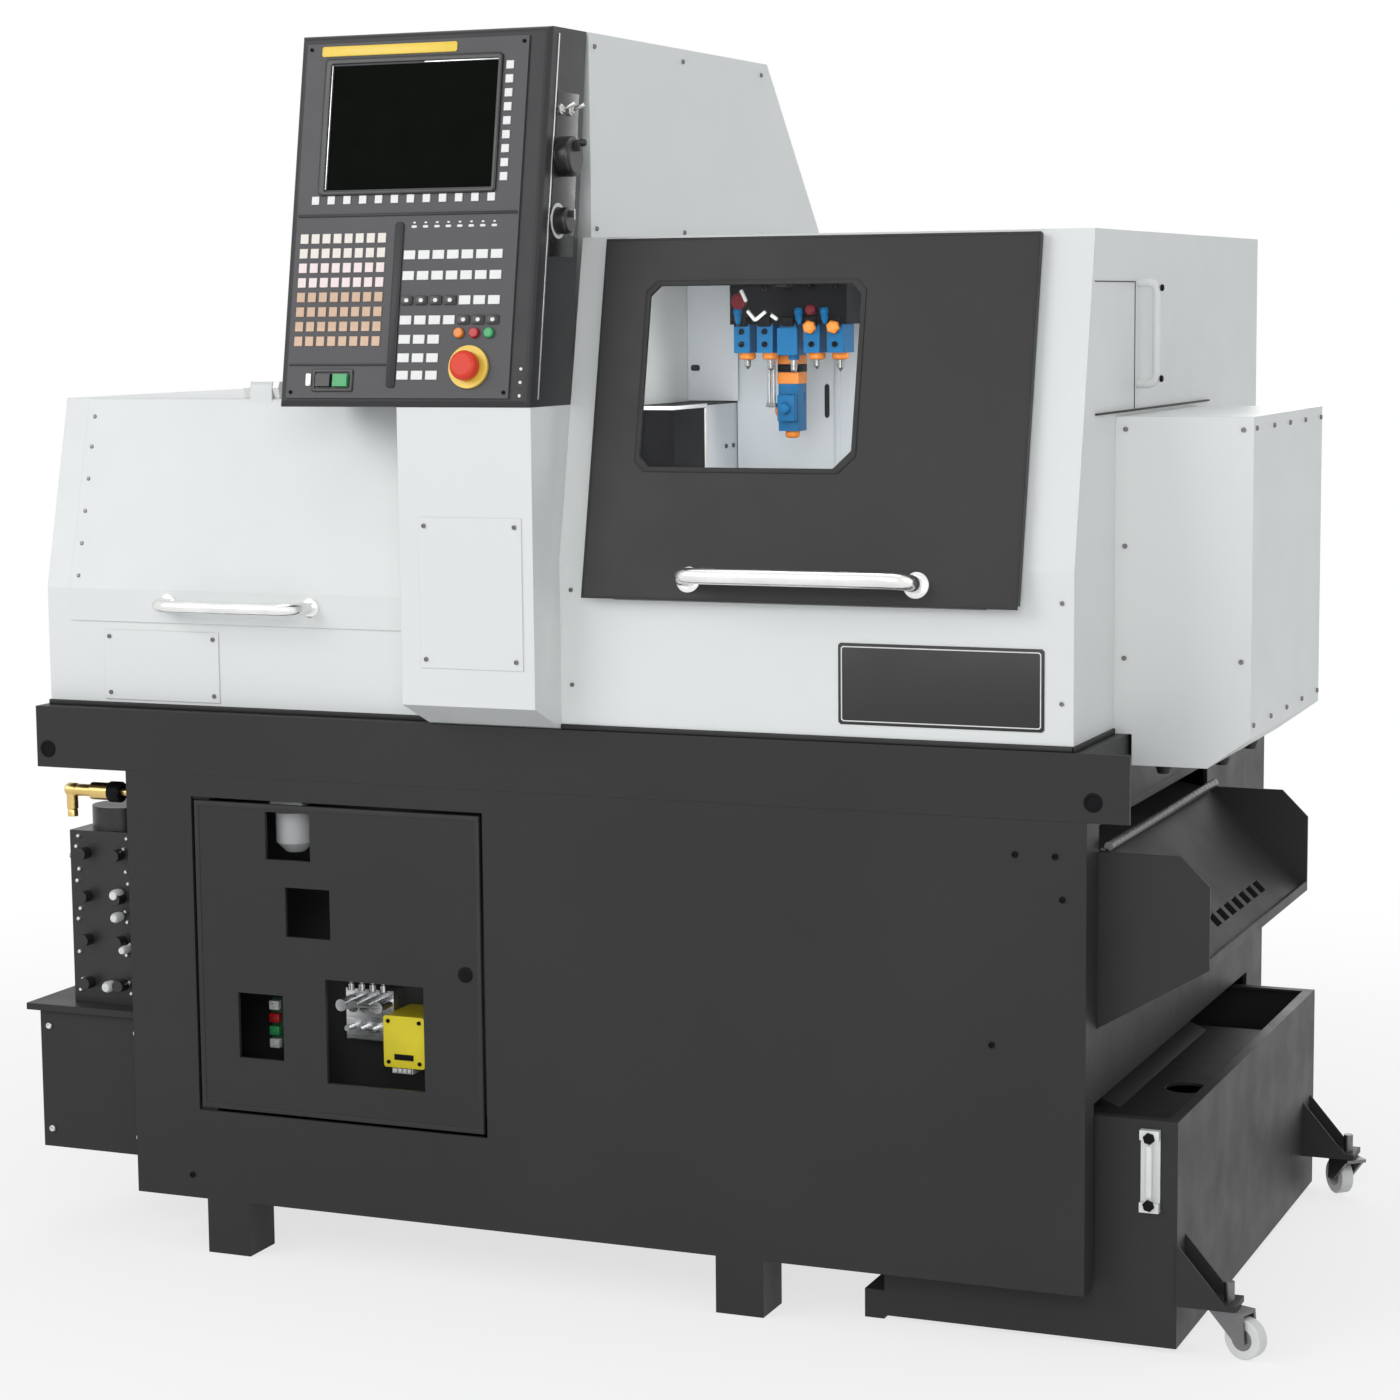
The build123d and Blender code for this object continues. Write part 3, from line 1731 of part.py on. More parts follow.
# Tool slide: plate on the column's rails with a beam towards the operator
with BuildPart() as tool_slide:
    slab(slide_left, slide_right, slide_front, slide_rear, slide_low, slide_high)
    slab(slide_left, slide_left + beam_length, beam_front, slide_rear, beam_low, slide_high)
    for rail_x in column_rail_xs:
        slab(
            rail_x - rail_half / 2 - sliding_gap,
            rail_x + rail_half / 2 + sliding_gap,
            column_front - rail_straddle - sliding_gap,
            slide_rear + overrun,
            slide_low - overrun,
            slide_high + overrun,
            mode=Mode.SUBTRACT,
        )
    # Gib that hangs below the beam and guides the tool post
    gib_left = (post_left + post_right) / 2
    slab(
        gib_left - post_gib / 2,
        gib_left + post_gib / 2,
        beam_front,
        slide_front,
        beam_low - post_gib_depth,
        beam_low,
    )
finish(tool_slide, "tool_slide")

# Tool post: block with a groove for the gib and a hanging arm
with BuildPart() as tool_post:
    slab(post_left, post_right, post_front, post_rear, post_low, post_top)
    slab(
        gib_left - post_gib / 2 - sliding_gap,
        gib_left + post_gib / 2 + sliding_gap,
        post_front - overrun,
        post_rear + overrun,
        beam_low - post_gib_depth - sliding_gap,
        post_top + overrun,
        mode=Mode.SUBTRACT,
    )
finish(tool_post, "tool_post")

# Tool holders: a row of square blocks with round caps, and the long drill arm
with BuildPart() as tool_holders:
    for index in range(holder_count):
        holder_x = share(post_left, post_right, (index + 1 / 2) / holder_count)
        holder_y = post_front + holder_depth / 2
        slab(
            holder_x - holder_width / 2,
            holder_x + holder_width / 2,
            post_front,
            post_front + holder_depth,
            post_low - holder_height,
            post_low,
        )
        rod(
            (holder_x, holder_y, post_low - holder_height),
            (holder_x, holder_y, post_low - holder_height - holder_nose_length),
            holder_nose_radius,
        )
    arm_x = share(post_left, post_right, 2 / 5)
    slab(
        arm_x - arm_width / 2,
        arm_x + arm_width / 2,
        post_front + holder_depth,
        post_front + holder_depth + arm_depth,
        post_low - holder_height - arm_length,
        post_low,
    )
finish(tool_holders, "tool_holders")

# Chamber liner: back wall with a foot fold on the deck, and slots for the slides
with BuildPart() as chamber_liner:
    liner_high = hood_top - sheet - liner_head_room
    prism(
        Plane.YZ.offset(liner_left),
        (
            (liner_back - liner_sheet, liner_high),
            (liner_back - liner_sheet, deck_top),
            (liner_back + liner_fold, deck_top),
            (liner_back + liner_fold, deck_top + liner_sheet),
            (liner_back, deck_top + liner_sheet),
            (liner_back, liner_high),
        ),
        liner_right - liner_left,
    )
    slab(
        liner_left - overrun,
        slide_left + beam_length + sub_slot_room,
        liner_back - overrun,
        liner_back + overrun,
        slide_low - slide_drop_room,
        liner_high + overrun,
        mode=Mode.SUBTRACT,
    )
    slab(
        sub_left - sub_travel - sub_slot_room,
        sub_right + sub_slot_room,
        liner_back - overrun,
        liner_back + overrun,
        sub_low - sub_slot_room,
        sub_low + sub_arm + sub_slot_room,
        mode=Mode.SUBTRACT,
    )
finish(chamber_liner, "chamber_liner")

# Coolant tank: open box with an inner rim and two skids
with BuildPart() as tank:
    slab(tank_left, tank_right, tank_front, tank_rear, tank_ground_gap, tank_top)
    slab(
        tank_left + tank_sheet,
        tank_right - tank_sheet,
        tank_front + tank_sheet,
        tank_rear - tank_sheet,
        tank_ground_gap + tank_sheet,
        tank_top - tank_sheet,
        mode=Mode.SUBTRACT,
    )
    slab(
        tank_left + tank_rim,
        tank_right - tank_rim,
        tank_front + tank_rim,
        tank_rear - tank_rim,
        tank_top - 2 * tank_sheet,
        tank_top + overrun,
        mode=Mode.SUBTRACT,
    )
    for skid_y in (tank_front, tank_rear - foot_size):
        slab(
            tank_left - skid_length,
            tank_left,
            skid_y,
            skid_y + foot_size,
            skid_ground_gap,
            skid_ground_gap + skid_height,
        )
finish(tank, "tank")

# Strainer: lid plate inside the tank with a round hole and a sloping screen
with BuildPart() as tank_strainer:
    lid_top = tank_top - lid_drop
    slab(
        tank_left + tank_sheet,
        tank_right - tank_sheet,
        tank_front + tank_sheet,
        tank_front + tank_depth * lid_depth_share,
        lid_top - lid_plate,
        lid_top,
    )
    screen_right = tank_right - strainer_right_inset
    prism(
        Plane.XZ.offset(-(tank_front + strainer_setback + strainer_depth)),
        (
            (screen_right, lid_top),
            (screen_right - strainer_run, lid_top + strainer_rise),
            (screen_right - strainer_run - lid_plate, lid_top + strainer_rise),
            (screen_right - strainer_run - lid_plate, lid_top),
        ),
        strainer_depth,
    )
    with Locations((tank_right - strainer_right_inset / 2, tank_front + tank_depth / 3, lid_top)):
        Cylinder(lid_hole_radius, overrun, mode=Mode.SUBTRACT)
finish(tank_strainer, "tank_strainer")

# Sight gauge: two end blocks and a glass tube on the tank's front
with BuildPart() as sight_gauge:
    gauge_right = tank_right - gauge_inset + gauge_width / 2
    gauge_left = gauge_right - gauge_width
    gauge_high = tank_top - gauge_drop
    gauge_low = gauge_high - gauge_height
    block = gauge_width / 2
    for block_low in (gauge_low, gauge_high - block):
        slab(gauge_left, gauge_right, tank_front - gauge_depth, tank_front, block_low, block_low + block)
    gauge_x = (gauge_left + gauge_right) / 2
    rod(
        (gauge_x, tank_front - gauge_depth / 2, gauge_low + block),
        (gauge_x, tank_front - gauge_depth / 2, gauge_high - block),
        gauge_tube_radius / 2,
    )
    slab(gauge_left, gauge_right, tank_front - sheet / 2, tank_front, gauge_low, gauge_high)
finish(sight_gauge, "sight_gauge")

# Caster brackets: gusseted plates on the tank's right face, bored for the stems
bracket_low = caster_crown_top + sliding_gap
bracket_high = bracket_low + caster_bracket_plate
with BuildPart() as caster_brackets:
    for stem_y in caster_ys:
        slab(
            tank_right,
            caster_stem_x + caster_bracket_width / 4,
            stem_y - caster_bracket_width / 2,
            stem_y + caster_bracket_width / 2,
            bracket_low,
            bracket_high,
        )
        for gusset_y in (stem_y - caster_bracket_width / 2 + sheet, stem_y + caster_bracket_width / 2):
            prism(
                Plane.XZ.offset(-gusset_y),
                (
                    (tank_right, bracket_high),
                    (caster_stem_x, bracket_high),
                    (tank_right, bracket_low + caster_bracket_height),
                ),
                sheet,
            )
        rod(
            (caster_stem_x, stem_y, bracket_low - overrun),
            (caster_stem_x, stem_y, bracket_high + overrun),
            caster_stem_radius + running_gap,
            mode=Mode.SUBTRACT,
        )
finish(caster_brackets, "caster_brackets")

# Caster forks and wheels, each turned to its own heading
for caster_name, stem_y, turn in zip(("front", "rear"), caster_ys, caster_turns):
    heading = Vector(cos(radians(turn)), sin(radians(turn)), 0)
    across = Vector(-heading.Y, heading.X, 0)
    stem_foot = Vector(caster_stem_x, stem_y, 0)
    axle = stem_foot + heading * caster_trail + Vector(0, 0, caster_axle_z)
    cheek = caster_wheel_width / 2 + caster_fork_gap
    with BuildPart() as caster_fork:
        crown_plane = Plane(origin=stem_foot + Vector(0, 0, caster_crown_low), x_dir=heading, z_dir=(0, 0, 1))
        prism(
            crown_plane,
            door_rectangle(
                -caster_bracket_width / 2,
                caster_trail + caster_axle_radius,
                -cheek - caster_fork_sheet,
                cheek + caster_fork_sheet,
            ),
            caster_crown,
        )
        for side in (-cheek - caster_fork_sheet, cheek):
            cheek_plane = Plane(origin=stem_foot + across * side, x_dir=heading, z_dir=across)
            prism(
                cheek_plane,
                (
                    (caster_trail - 2 * caster_axle_radius, -caster_axle_z + caster_axle_radius),
                    (caster_trail + 2 * caster_axle_radius, -caster_axle_z + caster_axle_radius),
                    (caster_trail + caster_axle_radius, -caster_crown_top),
                    (-caster_bracket_width / 2, -caster_crown_top),
                ),
                caster_fork_sheet,
            )
        axle_reach = across * (cheek + caster_fork_sheet)
        rod(tuple(axle - axle_reach), tuple(axle + axle_reach), caster_axle_radius)
        stem_start = stem_foot + Vector(0, 0, caster_crown_top)
        rod(tuple(stem_start), tuple(stem_start + Vector(0, 0, caster_stem_length)), caster_stem_radius)
    finish(caster_fork, f"caster_fork_{caster_name}")
    with BuildPart() as caster_wheel:
        wheel_reach = across * (caster_wheel_width / 2)
        rod(tuple(axle - wheel_reach), tuple(axle + wheel_reach), caster_wheel_radius)
        round_edges = caster_wheel.edges().filter_by(GeomType.CIRCLE)
        fillet(round_edges, radius=caster_axle_radius / 2)
        rod(
            tuple(axle - wheel_reach * 2),
            tuple(axle + wheel_reach * 2),
            caster_axle_radius + running_gap,
            mode=Mode.SUBTRACT,
        )
    finish(caster_wheel, f"caster_wheel_{caster_name}")
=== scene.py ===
# %% [markdown]
# A turning machine for bar stock, dressed for a picture. The solids come packed from the CAD as a
# fixed frame, so this lesson adds only what CAD leaves out: the studio, the finishes, and the small
# pieces such as screws, seals and trim. Everything is in metres, with +Z up and the operator at -Y.

# %% Load the frame
import bmesh
import bpy
import json
import math
from mathutils import Matrix, Vector


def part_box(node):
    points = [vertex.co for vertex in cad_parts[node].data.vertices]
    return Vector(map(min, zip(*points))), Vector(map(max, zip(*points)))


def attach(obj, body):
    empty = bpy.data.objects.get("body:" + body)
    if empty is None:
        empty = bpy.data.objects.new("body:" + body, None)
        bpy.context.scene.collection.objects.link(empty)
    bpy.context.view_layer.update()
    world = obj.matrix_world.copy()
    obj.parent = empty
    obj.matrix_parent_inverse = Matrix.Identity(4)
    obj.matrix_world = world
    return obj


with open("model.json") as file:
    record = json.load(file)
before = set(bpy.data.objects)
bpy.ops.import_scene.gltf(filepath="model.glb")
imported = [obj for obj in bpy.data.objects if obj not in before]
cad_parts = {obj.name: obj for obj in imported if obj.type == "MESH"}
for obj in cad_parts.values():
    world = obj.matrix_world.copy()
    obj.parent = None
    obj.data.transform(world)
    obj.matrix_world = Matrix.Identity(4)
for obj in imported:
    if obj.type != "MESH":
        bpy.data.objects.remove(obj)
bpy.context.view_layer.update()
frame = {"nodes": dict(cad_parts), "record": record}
scene = bpy.context.scene
print("nodes in the frame:", len(frame["nodes"]))

# %% [markdown]
# The camera comes first, because every later choice is judged through it. It stands to the right of
# the operator's place and looks slightly down. Its place and turn are written as a yaw, a pitch and a
# small roll, which are easier to read and to nudge than a matrix of nine numbers.

# %% Camera
CAMERA_SPOT = Vector((1.9801, -4.4512, 1.3718))
CAMERA_YAW = math.radians(22.50)
CAMERA_PITCH = math.radians(7.03)
CAMERA_ROLL = math.radians(-0.54)
LENS_MM = 82.08

forward = Vector((
    -math.sin(CAMERA_YAW) * math.cos(CAMERA_PITCH),
    math.cos(CAMERA_YAW) * math.cos(CAMERA_PITCH),
    -math.sin(CAMERA_PITCH),
))
level_right = Vector((math.cos(CAMERA_YAW), math.sin(CAMERA_YAW), 0.0))
level_up = level_right.cross(forward)
picture_right = level_right * math.cos(CAMERA_ROLL) + level_up * math.sin(CAMERA_ROLL)
picture_up = level_up * math.cos(CAMERA_ROLL) - level_right * math.sin(CAMERA_ROLL)

lens = bpy.data.cameras.new("studio_camera")
lens.lens = LENS_MM
lens.sensor_width = 36.0
lens.sensor_fit = "HORIZONTAL"
lens.clip_end = 60.0
camera = bpy.data.objects.new("studio_camera", lens)
scene.collection.objects.link(camera)
turn = Matrix((picture_right, picture_up, -forward)).transposed()
camera.matrix_world = Matrix.Translation(CAMERA_SPOT) @ turn.to_4x4()
scene.camera = camera
print("camera at", tuple(round(v, 3) for v in CAMERA_SPOT))

# %% [markdown]
# The studio is a white room with no visible walls. The world is plain white where the camera, a
# mirror or a glass looks at it, and a softer grey where it only lights the machine. Two routes lead
# there: a bright backdrop, which also floods the machine with light, or the Light Path node, which
# keeps the background and the lighting apart. The second one is used here.

# %% World
def seen_directly(nodes, links):
    rays = nodes.new("ShaderNodeLightPath")
    seen = rays.outputs["Is Camera Ray"]
    for ray in ("Is Glossy Ray", "Is Transmission Ray"):
        either = nodes.new("ShaderNodeMath")
        either.operation = "MAXIMUM"
        links.new(seen, either.inputs[0])
        links.new(rays.outputs[ray], either.inputs[1])
        seen = either.outputs[0]
    return seen


scene.view_settings.view_transform = "Standard"
world = bpy.data.worlds.new("white_room")
scene.world = world
world.use_nodes = True
sky = world.node_tree.nodes
wire = world.node_tree.links
sky.clear()
ambient = sky.new("ShaderNodeBackground")
ambient.inputs["Color"].default_value = (0.93, 0.96, 1.0, 1.0)
ambient.inputs["Strength"].default_value = 0.42
backdrop = sky.new("ShaderNodeBackground")
backdrop.inputs["Color"].default_value = (1.0, 1.0, 1.0, 1.0)
backdrop.inputs["Strength"].default_value = 1.0
choose = sky.new("ShaderNodeMixShader")
wire.new(seen_directly(sky, wire), choose.inputs["Fac"])
wire.new(ambient.outputs[0], choose.inputs[1])
wire.new(backdrop.outputs[0], choose.inputs[2])
room = sky.new("ShaderNodeOutputWorld")
wire.new(choose.outputs[0], room.inputs["Surface"])
print("world ready")

# %% [markdown]
# The lamps are large soft boxes. The key box stands at the operator's left and the front box beside
# the camera. A weak one at the right keeps the end of the machine a step darker, a wide one above
# draws the edges of the roofs, and the last lights the back. Big lamps give the soft shadows of a
# product picture.

# %% Lamps
def soft_box(name, spot, aim, width, height, watts):
    lamp = bpy.data.lights.new(name, "AREA")
    lamp.shape = "RECTANGLE"
    lamp.size = width
    lamp.size_y = height
    lamp.energy = watts
    holder = bpy.data.objects.new(name, lamp)
    scene.collection.objects.link(holder)
    holder.location = spot
    holder.rotation_euler = (Vector(aim) - Vector(spot)).to_track_quat("-Z", "Y").to_euler()
    return holder


soft_box("key_box", (-2.6, -4.2, 3.2), (0.0, -0.3, 0.9), 3.0, 2.6, 80.0)
soft_box("front_box", (1.7, -5.1, 2.2), (0.3, -0.4, 0.9), 2.6, 2.2, 68.0)
soft_box("end_box", (4.2, -0.6, 2.4), (0.8, 0.0, 0.9), 2.4, 2.4, 17.0)
soft_box("top_box", (0.2, 0.4, 4.2), (0.2, 0.0, 0.8), 3.2, 2.4, 28.0)
soft_box("rear_box", (-0.6, 4.6, 2.6), (0.0, 0.4, 0.9), 3.0, 2.4, 50.0)

# %% [markdown]
# The floor is one pale sheet. It shows as white to the camera, yet it must keep the machine's shadow,
# so its own diffuse shading is mixed with plain white for rays from the camera, a mirror or clear glass.
# Near the machine the shadow stays in the mix, and farther out the white takes over, so the floor
# melts into the backdrop without an edge.

# %% Floor
FLOOR_HALF, FLOOR_DROP = 14.0, 0.0012
FLOOR_SIGNS = ((-1, -1), (1, -1), (1, 1), (-1, 1))
floor_corners = [(x * FLOOR_HALF, y * FLOOR_HALF, -FLOOR_DROP) for x, y in FLOOR_SIGNS]
floor_mesh = bpy.data.meshes.new("studio_floor")
floor_mesh.from_pydata(floor_corners, [], [(0, 1, 2, 3)])
floor = bpy.data.objects.new("studio_floor", floor_mesh)
scene.collection.objects.link(floor)
floor_look = bpy.data.materials.new("pale_floor")
floor_look.use_nodes = True
tree = floor_look.node_tree
tree.nodes.clear()
floor_noise = tree.nodes.new("ShaderNodeTexNoise")
floor_noise.inputs["Scale"].default_value = 0.8
floor_tone = tree.nodes.new("ShaderNodeMapRange")
floor_tone.inputs["To Min"].default_value = 0.90
floor_tone.inputs["To Max"].default_value = 0.94
tree.links.new(floor_noise.outputs["Fac"], floor_tone.inputs["Value"])
matt = tree.nodes.new("ShaderNodeBsdfDiffuse")
tree.links.new(floor_tone.outputs[0], matt.inputs["Color"])
glow = tree.nodes.new("ShaderNodeEmission")
glow.inputs["Color"].default_value = (1.0, 1.0, 1.0, 1.0)
glow.inputs["Strength"].default_value = 1.0
floor_place = tree.nodes.new("ShaderNodeTexCoord")
from_middle = tree.nodes.new("ShaderNodeVectorMath")
from_middle.operation = "LENGTH"
tree.links.new(floor_place.outputs["Object"], from_middle.inputs[0])
fade = tree.nodes.new("ShaderNodeMapRange")
fade.interpolation_type = "SMOOTHSTEP"
fade.inputs["From Min"].default_value = 1.1
fade.inputs["From Max"].default_value = 3.0
fade.inputs["To Min"].default_value = 0.72
fade.inputs["To Max"].default_value = 1.0
tree.links.new(from_middle.outputs["Value"], fade.inputs["Value"])
share_white = tree.nodes.new("ShaderNodeMath")
share_white.operation = "MULTIPLY"
tree.links.new(seen_directly(tree.nodes, tree.links), share_white.inputs[0])
tree.links.new(fade.outputs[0], share_white.inputs[1])
blend_floor = tree.nodes.new("ShaderNodeMixShader")
tree.links.new(share_white.outputs[0], blend_floor.inputs["Fac"])
tree.links.new(matt.outputs[0], blend_floor.inputs[1])
tree.links.new(glow.outputs[0], blend_floor.inputs[2])
floor_end = tree.nodes.new("ShaderNodeOutputMaterial")
tree.links.new(blend_floor.outputs[0], floor_end.inputs["Surface"])
floor_mesh.materials.append(floor_look)
print("floor ready")

# %% [markdown]
# Most of the machine is painted sheet metal. Real powder coat is never one flat colour: it has slow
# drifts of tone, a fine orange-peel skin and patches that shine a little more. A texture image could
# carry all that, but noise in object space needs no unwrapping and has the same scale on every panel.
# The Bevel node rounds the look of the folded edges, which catch a thin line of light.

# %% Paint
def start_finish(name, colour, metal=0.0):
    look = bpy.data.materials.new(name)
    look.use_nodes = True
    nodes = look.node_tree.nodes
    links = look.node_tree.links
    nodes.clear()
    shader = nodes.new("ShaderNodeBsdfPrincipled")
    shader.inputs["Metallic"].default_value = metal
    end = nodes.new("ShaderNodeOutputMaterial")
    links.new(shader.outputs[0], end.inputs["Surface"])
    where = nodes.new("ShaderNodeTexCoord")
    look.diffuse_color = (*colour, 1.0)
    return look, nodes, links, shader, where


def noise(nodes, links, where, scale, detail=3.0, stretch=None):
    grain = nodes.new("ShaderNodeTexNoise")
    grain.inputs["Scale"].default_value = scale
    grain.inputs["Detail"].default_value = detail
    if stretch is None:
        links.new(where.outputs["Object"], grain.inputs["Vector"])
    else:
        squeeze = nodes.new("ShaderNodeMapping")
        squeeze.inputs["Scale"].default_value = stretch
        links.new(where.outputs["Object"], squeeze.inputs["Vector"])
        links.new(squeeze.outputs[0], grain.inputs["Vector"])
    return grain


def drift_colour(nodes, links, grain, shader, colour, drift):
    ramp = nodes.new("ShaderNodeValToRGB")
    ramp.color_ramp.elements[0].position = 0.30
    ramp.color_ramp.elements[1].position = 0.70
    ramp.color_ramp.elements[0].color = (*[max(c * (1.0 - drift), 0.0) for c in colour], 1.0)
    ramp.color_ramp.elements[1].color = (*[min(c * (1.0 + drift), 1.0) for c in colour], 1.0)
    links.new(grain.outputs["Fac"], ramp.inputs["Fac"])
    links.new(ramp.outputs["Color"], shader.inputs["Base Color"])
    return ramp


def drift_rough(nodes, links, grain, shader, low, high):
    spread = nodes.new("ShaderNodeMapRange")
    spread.inputs["From Min"].default_value = 0.30
    spread.inputs["From Max"].default_value = 0.70
    spread.inputs["To Min"].default_value = low
    spread.inputs["To Max"].default_value = high
    links.new(grain.outputs["Fac"], spread.inputs["Value"])
    links.new(spread.outputs[0], shader.inputs["Roughness"])


def skin(nodes, links, grain, shader, strength, depth, edge=0.0):
    bump = nodes.new("ShaderNodeBump")
    bump.inputs["Strength"].default_value = strength
    bump.inputs["Distance"].default_value = depth
    links.new(grain.outputs["Fac"], bump.inputs["Height"])
    if edge > 0.0:
        soft_edge = nodes.new("ShaderNodeBevel")
        soft_edge.samples = 4
        soft_edge.inputs["Radius"].default_value = edge
        links.new(soft_edge.outputs[0], bump.inputs["Normal"])
    links.new(bump.outputs[0], shader.inputs["Normal"])


def paint(name, colour, rough=0.42, drift=0.035, peel=0.12, edge=0.0015, gloss=0.5):
    look, nodes, links, shader, where = start_finish(name, colour)
    shader.inputs["Specular IOR Level"].default_value = gloss
    slow = noise(nodes, links, where, 2.6, 4.0)
    drift_colour(nodes, links, slow, shader, colour, drift)
    patch = noise(nodes, links, where, 14.0, 3.0)
    drift_rough(nodes, links, patch, shader, rough - 0.05, rough + 0.06)
    orange_peel = noise(nodes, links, where, 420.0, 2.0)
    skin(nodes, links, orange_peel, shader, peel, 0.0004, edge)
    return look


COVER_PAINT = paint("cover_paint", (0.755, 0.775, 0.765), rough=0.40, drift=0.018, gloss=0.35)
CABINET_PAINT = paint("cabinet_paint", (0.0315, 0.0315, 0.0325), rough=0.46, drift=0.07, gloss=0.2)
DOOR_PAINT = paint("door_paint", (0.0360, 0.0355, 0.0355), rough=0.42, drift=0.08, gloss=0.2)
LINER_PAINT = paint("liner_paint", (0.66, 0.70, 0.73), rough=0.36, drift=0.03)
print("paints:", COVER_PAINT.name, CABINET_PAINT.name, DOOR_PAINT.name, LINER_PAINT.name)

# %% [markdown]
# Plastics differ from paint in their grain: the operator panel's shell has a fine spark-eroded
# texture, while key caps, knobs and push buttons are smoother. One helper with a few dials serves
# them all, so the colours stay easy to compare side by side.

# %% Plastics and rubber
def plastic(name, colour, rough=0.38, grain_scale=900.0, grain=0.10, drift=0.06, edge=0.0008, gloss=0.5):
    look, nodes, links, shader, where = start_finish(name, colour)
    shader.inputs["Specular IOR Level"].default_value = gloss
    cloud = noise(nodes, links, where, 24.0, 3.0)
    drift_colour(nodes, links, cloud, shader, colour, drift)
    drift_rough(nodes, links, cloud, shader, rough - 0.05, rough + 0.05)
    texture = noise(nodes, links, where, grain_scale, 2.0)
    skin(nodes, links, texture, shader, grain, 0.0002, edge)
    return look


PANEL_SHELL = plastic("pendant_shell", (0.034, 0.034, 0.036), rough=0.40, gloss=0.25)
FASCIA_FILM = plastic("fascia_grey", (0.081, 0.080, 0.085), rough=0.40, gloss=0.25)
WHITE_CAP = plastic("key_white", (0.80, 0.80, 0.79), rough=0.42, drift=0.03)
BLACK_CAP = plastic("button_black", (0.014, 0.014, 0.015), rough=0.30)
KNOB_BLACK = plastic("knob_black", (0.013, 0.013, 0.014), rough=0.33)
STOP_RED = plastic("estop_red", (0.70, 0.045, 0.020), rough=0.34, gloss=0.30)
STOP_YELLOW = plastic("estop_yellow", (0.88, 0.62, 0.080), rough=0.34)
ORANGE_CAP = plastic("button_orange", (0.80, 0.24, 0.020), rough=0.30)
RED_CAP = plastic("button_red", (0.46, 0.010, 0.016), rough=0.30)
DARK_RED = plastic("dark_red", (0.130, 0.008, 0.014), rough=0.36, gloss=0.2)
GREEN_CAP = plastic("button_green", (0.030, 0.36, 0.110), rough=0.30)
YELLOW_CASE = plastic("supply_yellow", (0.86, 0.72, 0.015), rough=0.36)
GREEN_STRIP = plastic("terminal_green", (0.030, 0.10, 0.055), rough=0.45)
NYLON = plastic("caster_nylon", (0.72, 0.73, 0.71), rough=0.45)
RUBBER = plastic("seal_rubber", (0.010, 0.010, 0.010), rough=0.62, grain_scale=500.0, grain=0.2)
print("plastics:", [m.name for m in (PANEL_SHELL, FASCIA_FILM, WHITE_CAP, STOP_RED, NYLON)])

# %% [markdown]
# Metal shows its working: ground steel has long fine scratches, a casting has a pitted skin under its
# paint, and a polished tube has almost nothing but a faint haze. Stretching the noise along one axis
# makes the scratches, and the same noise drives roughness and bump so that they agree.

# %% Metals
def steel(name, colour, rough=0.28, scratch=0.10, stretch=(30.0, 400.0, 400.0)):
    look, nodes, links, shader, where = start_finish(name, colour, metal=1.0)
    cloud = noise(nodes, links, where, 18.0, 3.0)
    drift_colour(nodes, links, cloud, shader, colour, 0.08)
    lines = noise(nodes, links, where, 1.0, 4.0, stretch)
    drift_rough(nodes, links, lines, shader, rough - 0.08, rough + 0.10)
    skin(nodes, links, lines, shader, scratch, 0.0002, 0.0006)
    return look


def casting(name, colour, rough=0.5, gloss=0.4):
    look, nodes, links, shader, where = start_finish(name, colour)
    shader.inputs["Specular IOR Level"].default_value = gloss
    slow = noise(nodes, links, where, 6.0, 5.0)
    drift_colour(nodes, links, slow, shader, colour, 0.12)
    pits = noise(nodes, links, where, 160.0, 5.0)
    drift_rough(nodes, links, pits, shader, rough - 0.08, rough + 0.10)
    skin(nodes, links, pits, shader, 0.35, 0.0006, 0.002)
    return look


BRIGHT_STEEL = steel("bright_steel", (0.66, 0.66, 0.65))
CHROME = steel("handle_chrome", (0.86, 0.86, 0.85), rough=0.20, scratch=0.03)
DARK_ZINC = steel("caster_zinc", (0.20, 0.20, 0.205), rough=0.42)
BRASS = steel("coupler_brass", (0.72, 0.52, 0.20), rough=0.30)
VALVE_SILVER = steel("valve_silver", (0.70, 0.71, 0.72), rough=0.32)
BED_CASTING = casting("bed_casting", (0.030, 0.031, 0.033))
BLACK_CASTING = casting("column_black", (0.006, 0.006, 0.007), rough=0.46, gloss=0.06)
BLACK_OXIDE = casting("post_black", (0.007, 0.007, 0.008), rough=0.42, gloss=0.08)
BLACK_PLATE = paint("service_plate", (0.016, 0.016, 0.017), rough=0.5, drift=0.1)
PUMP_BLACK = paint("pump_black", (0.012, 0.012, 0.013), rough=0.38, drift=0.12)
HOLDER_BLUE = paint("holder_blue", (0.004, 0.120, 0.295), rough=0.30, drift=0.18, edge=0.001, gloss=0.15)
print("metals:", BRIGHT_STEEL.name, CHROME.name, BED_CASTING.name)

# %% [markdown]
# The window pane is clear and thin. A full glass shader would keep the lamps' direct light out of the
# chamber, so the pane is a nearly transparent coat with a mirror-smooth face: its alpha stays low and
# a slow noise makes the faint smears of coolant that such a window always has.

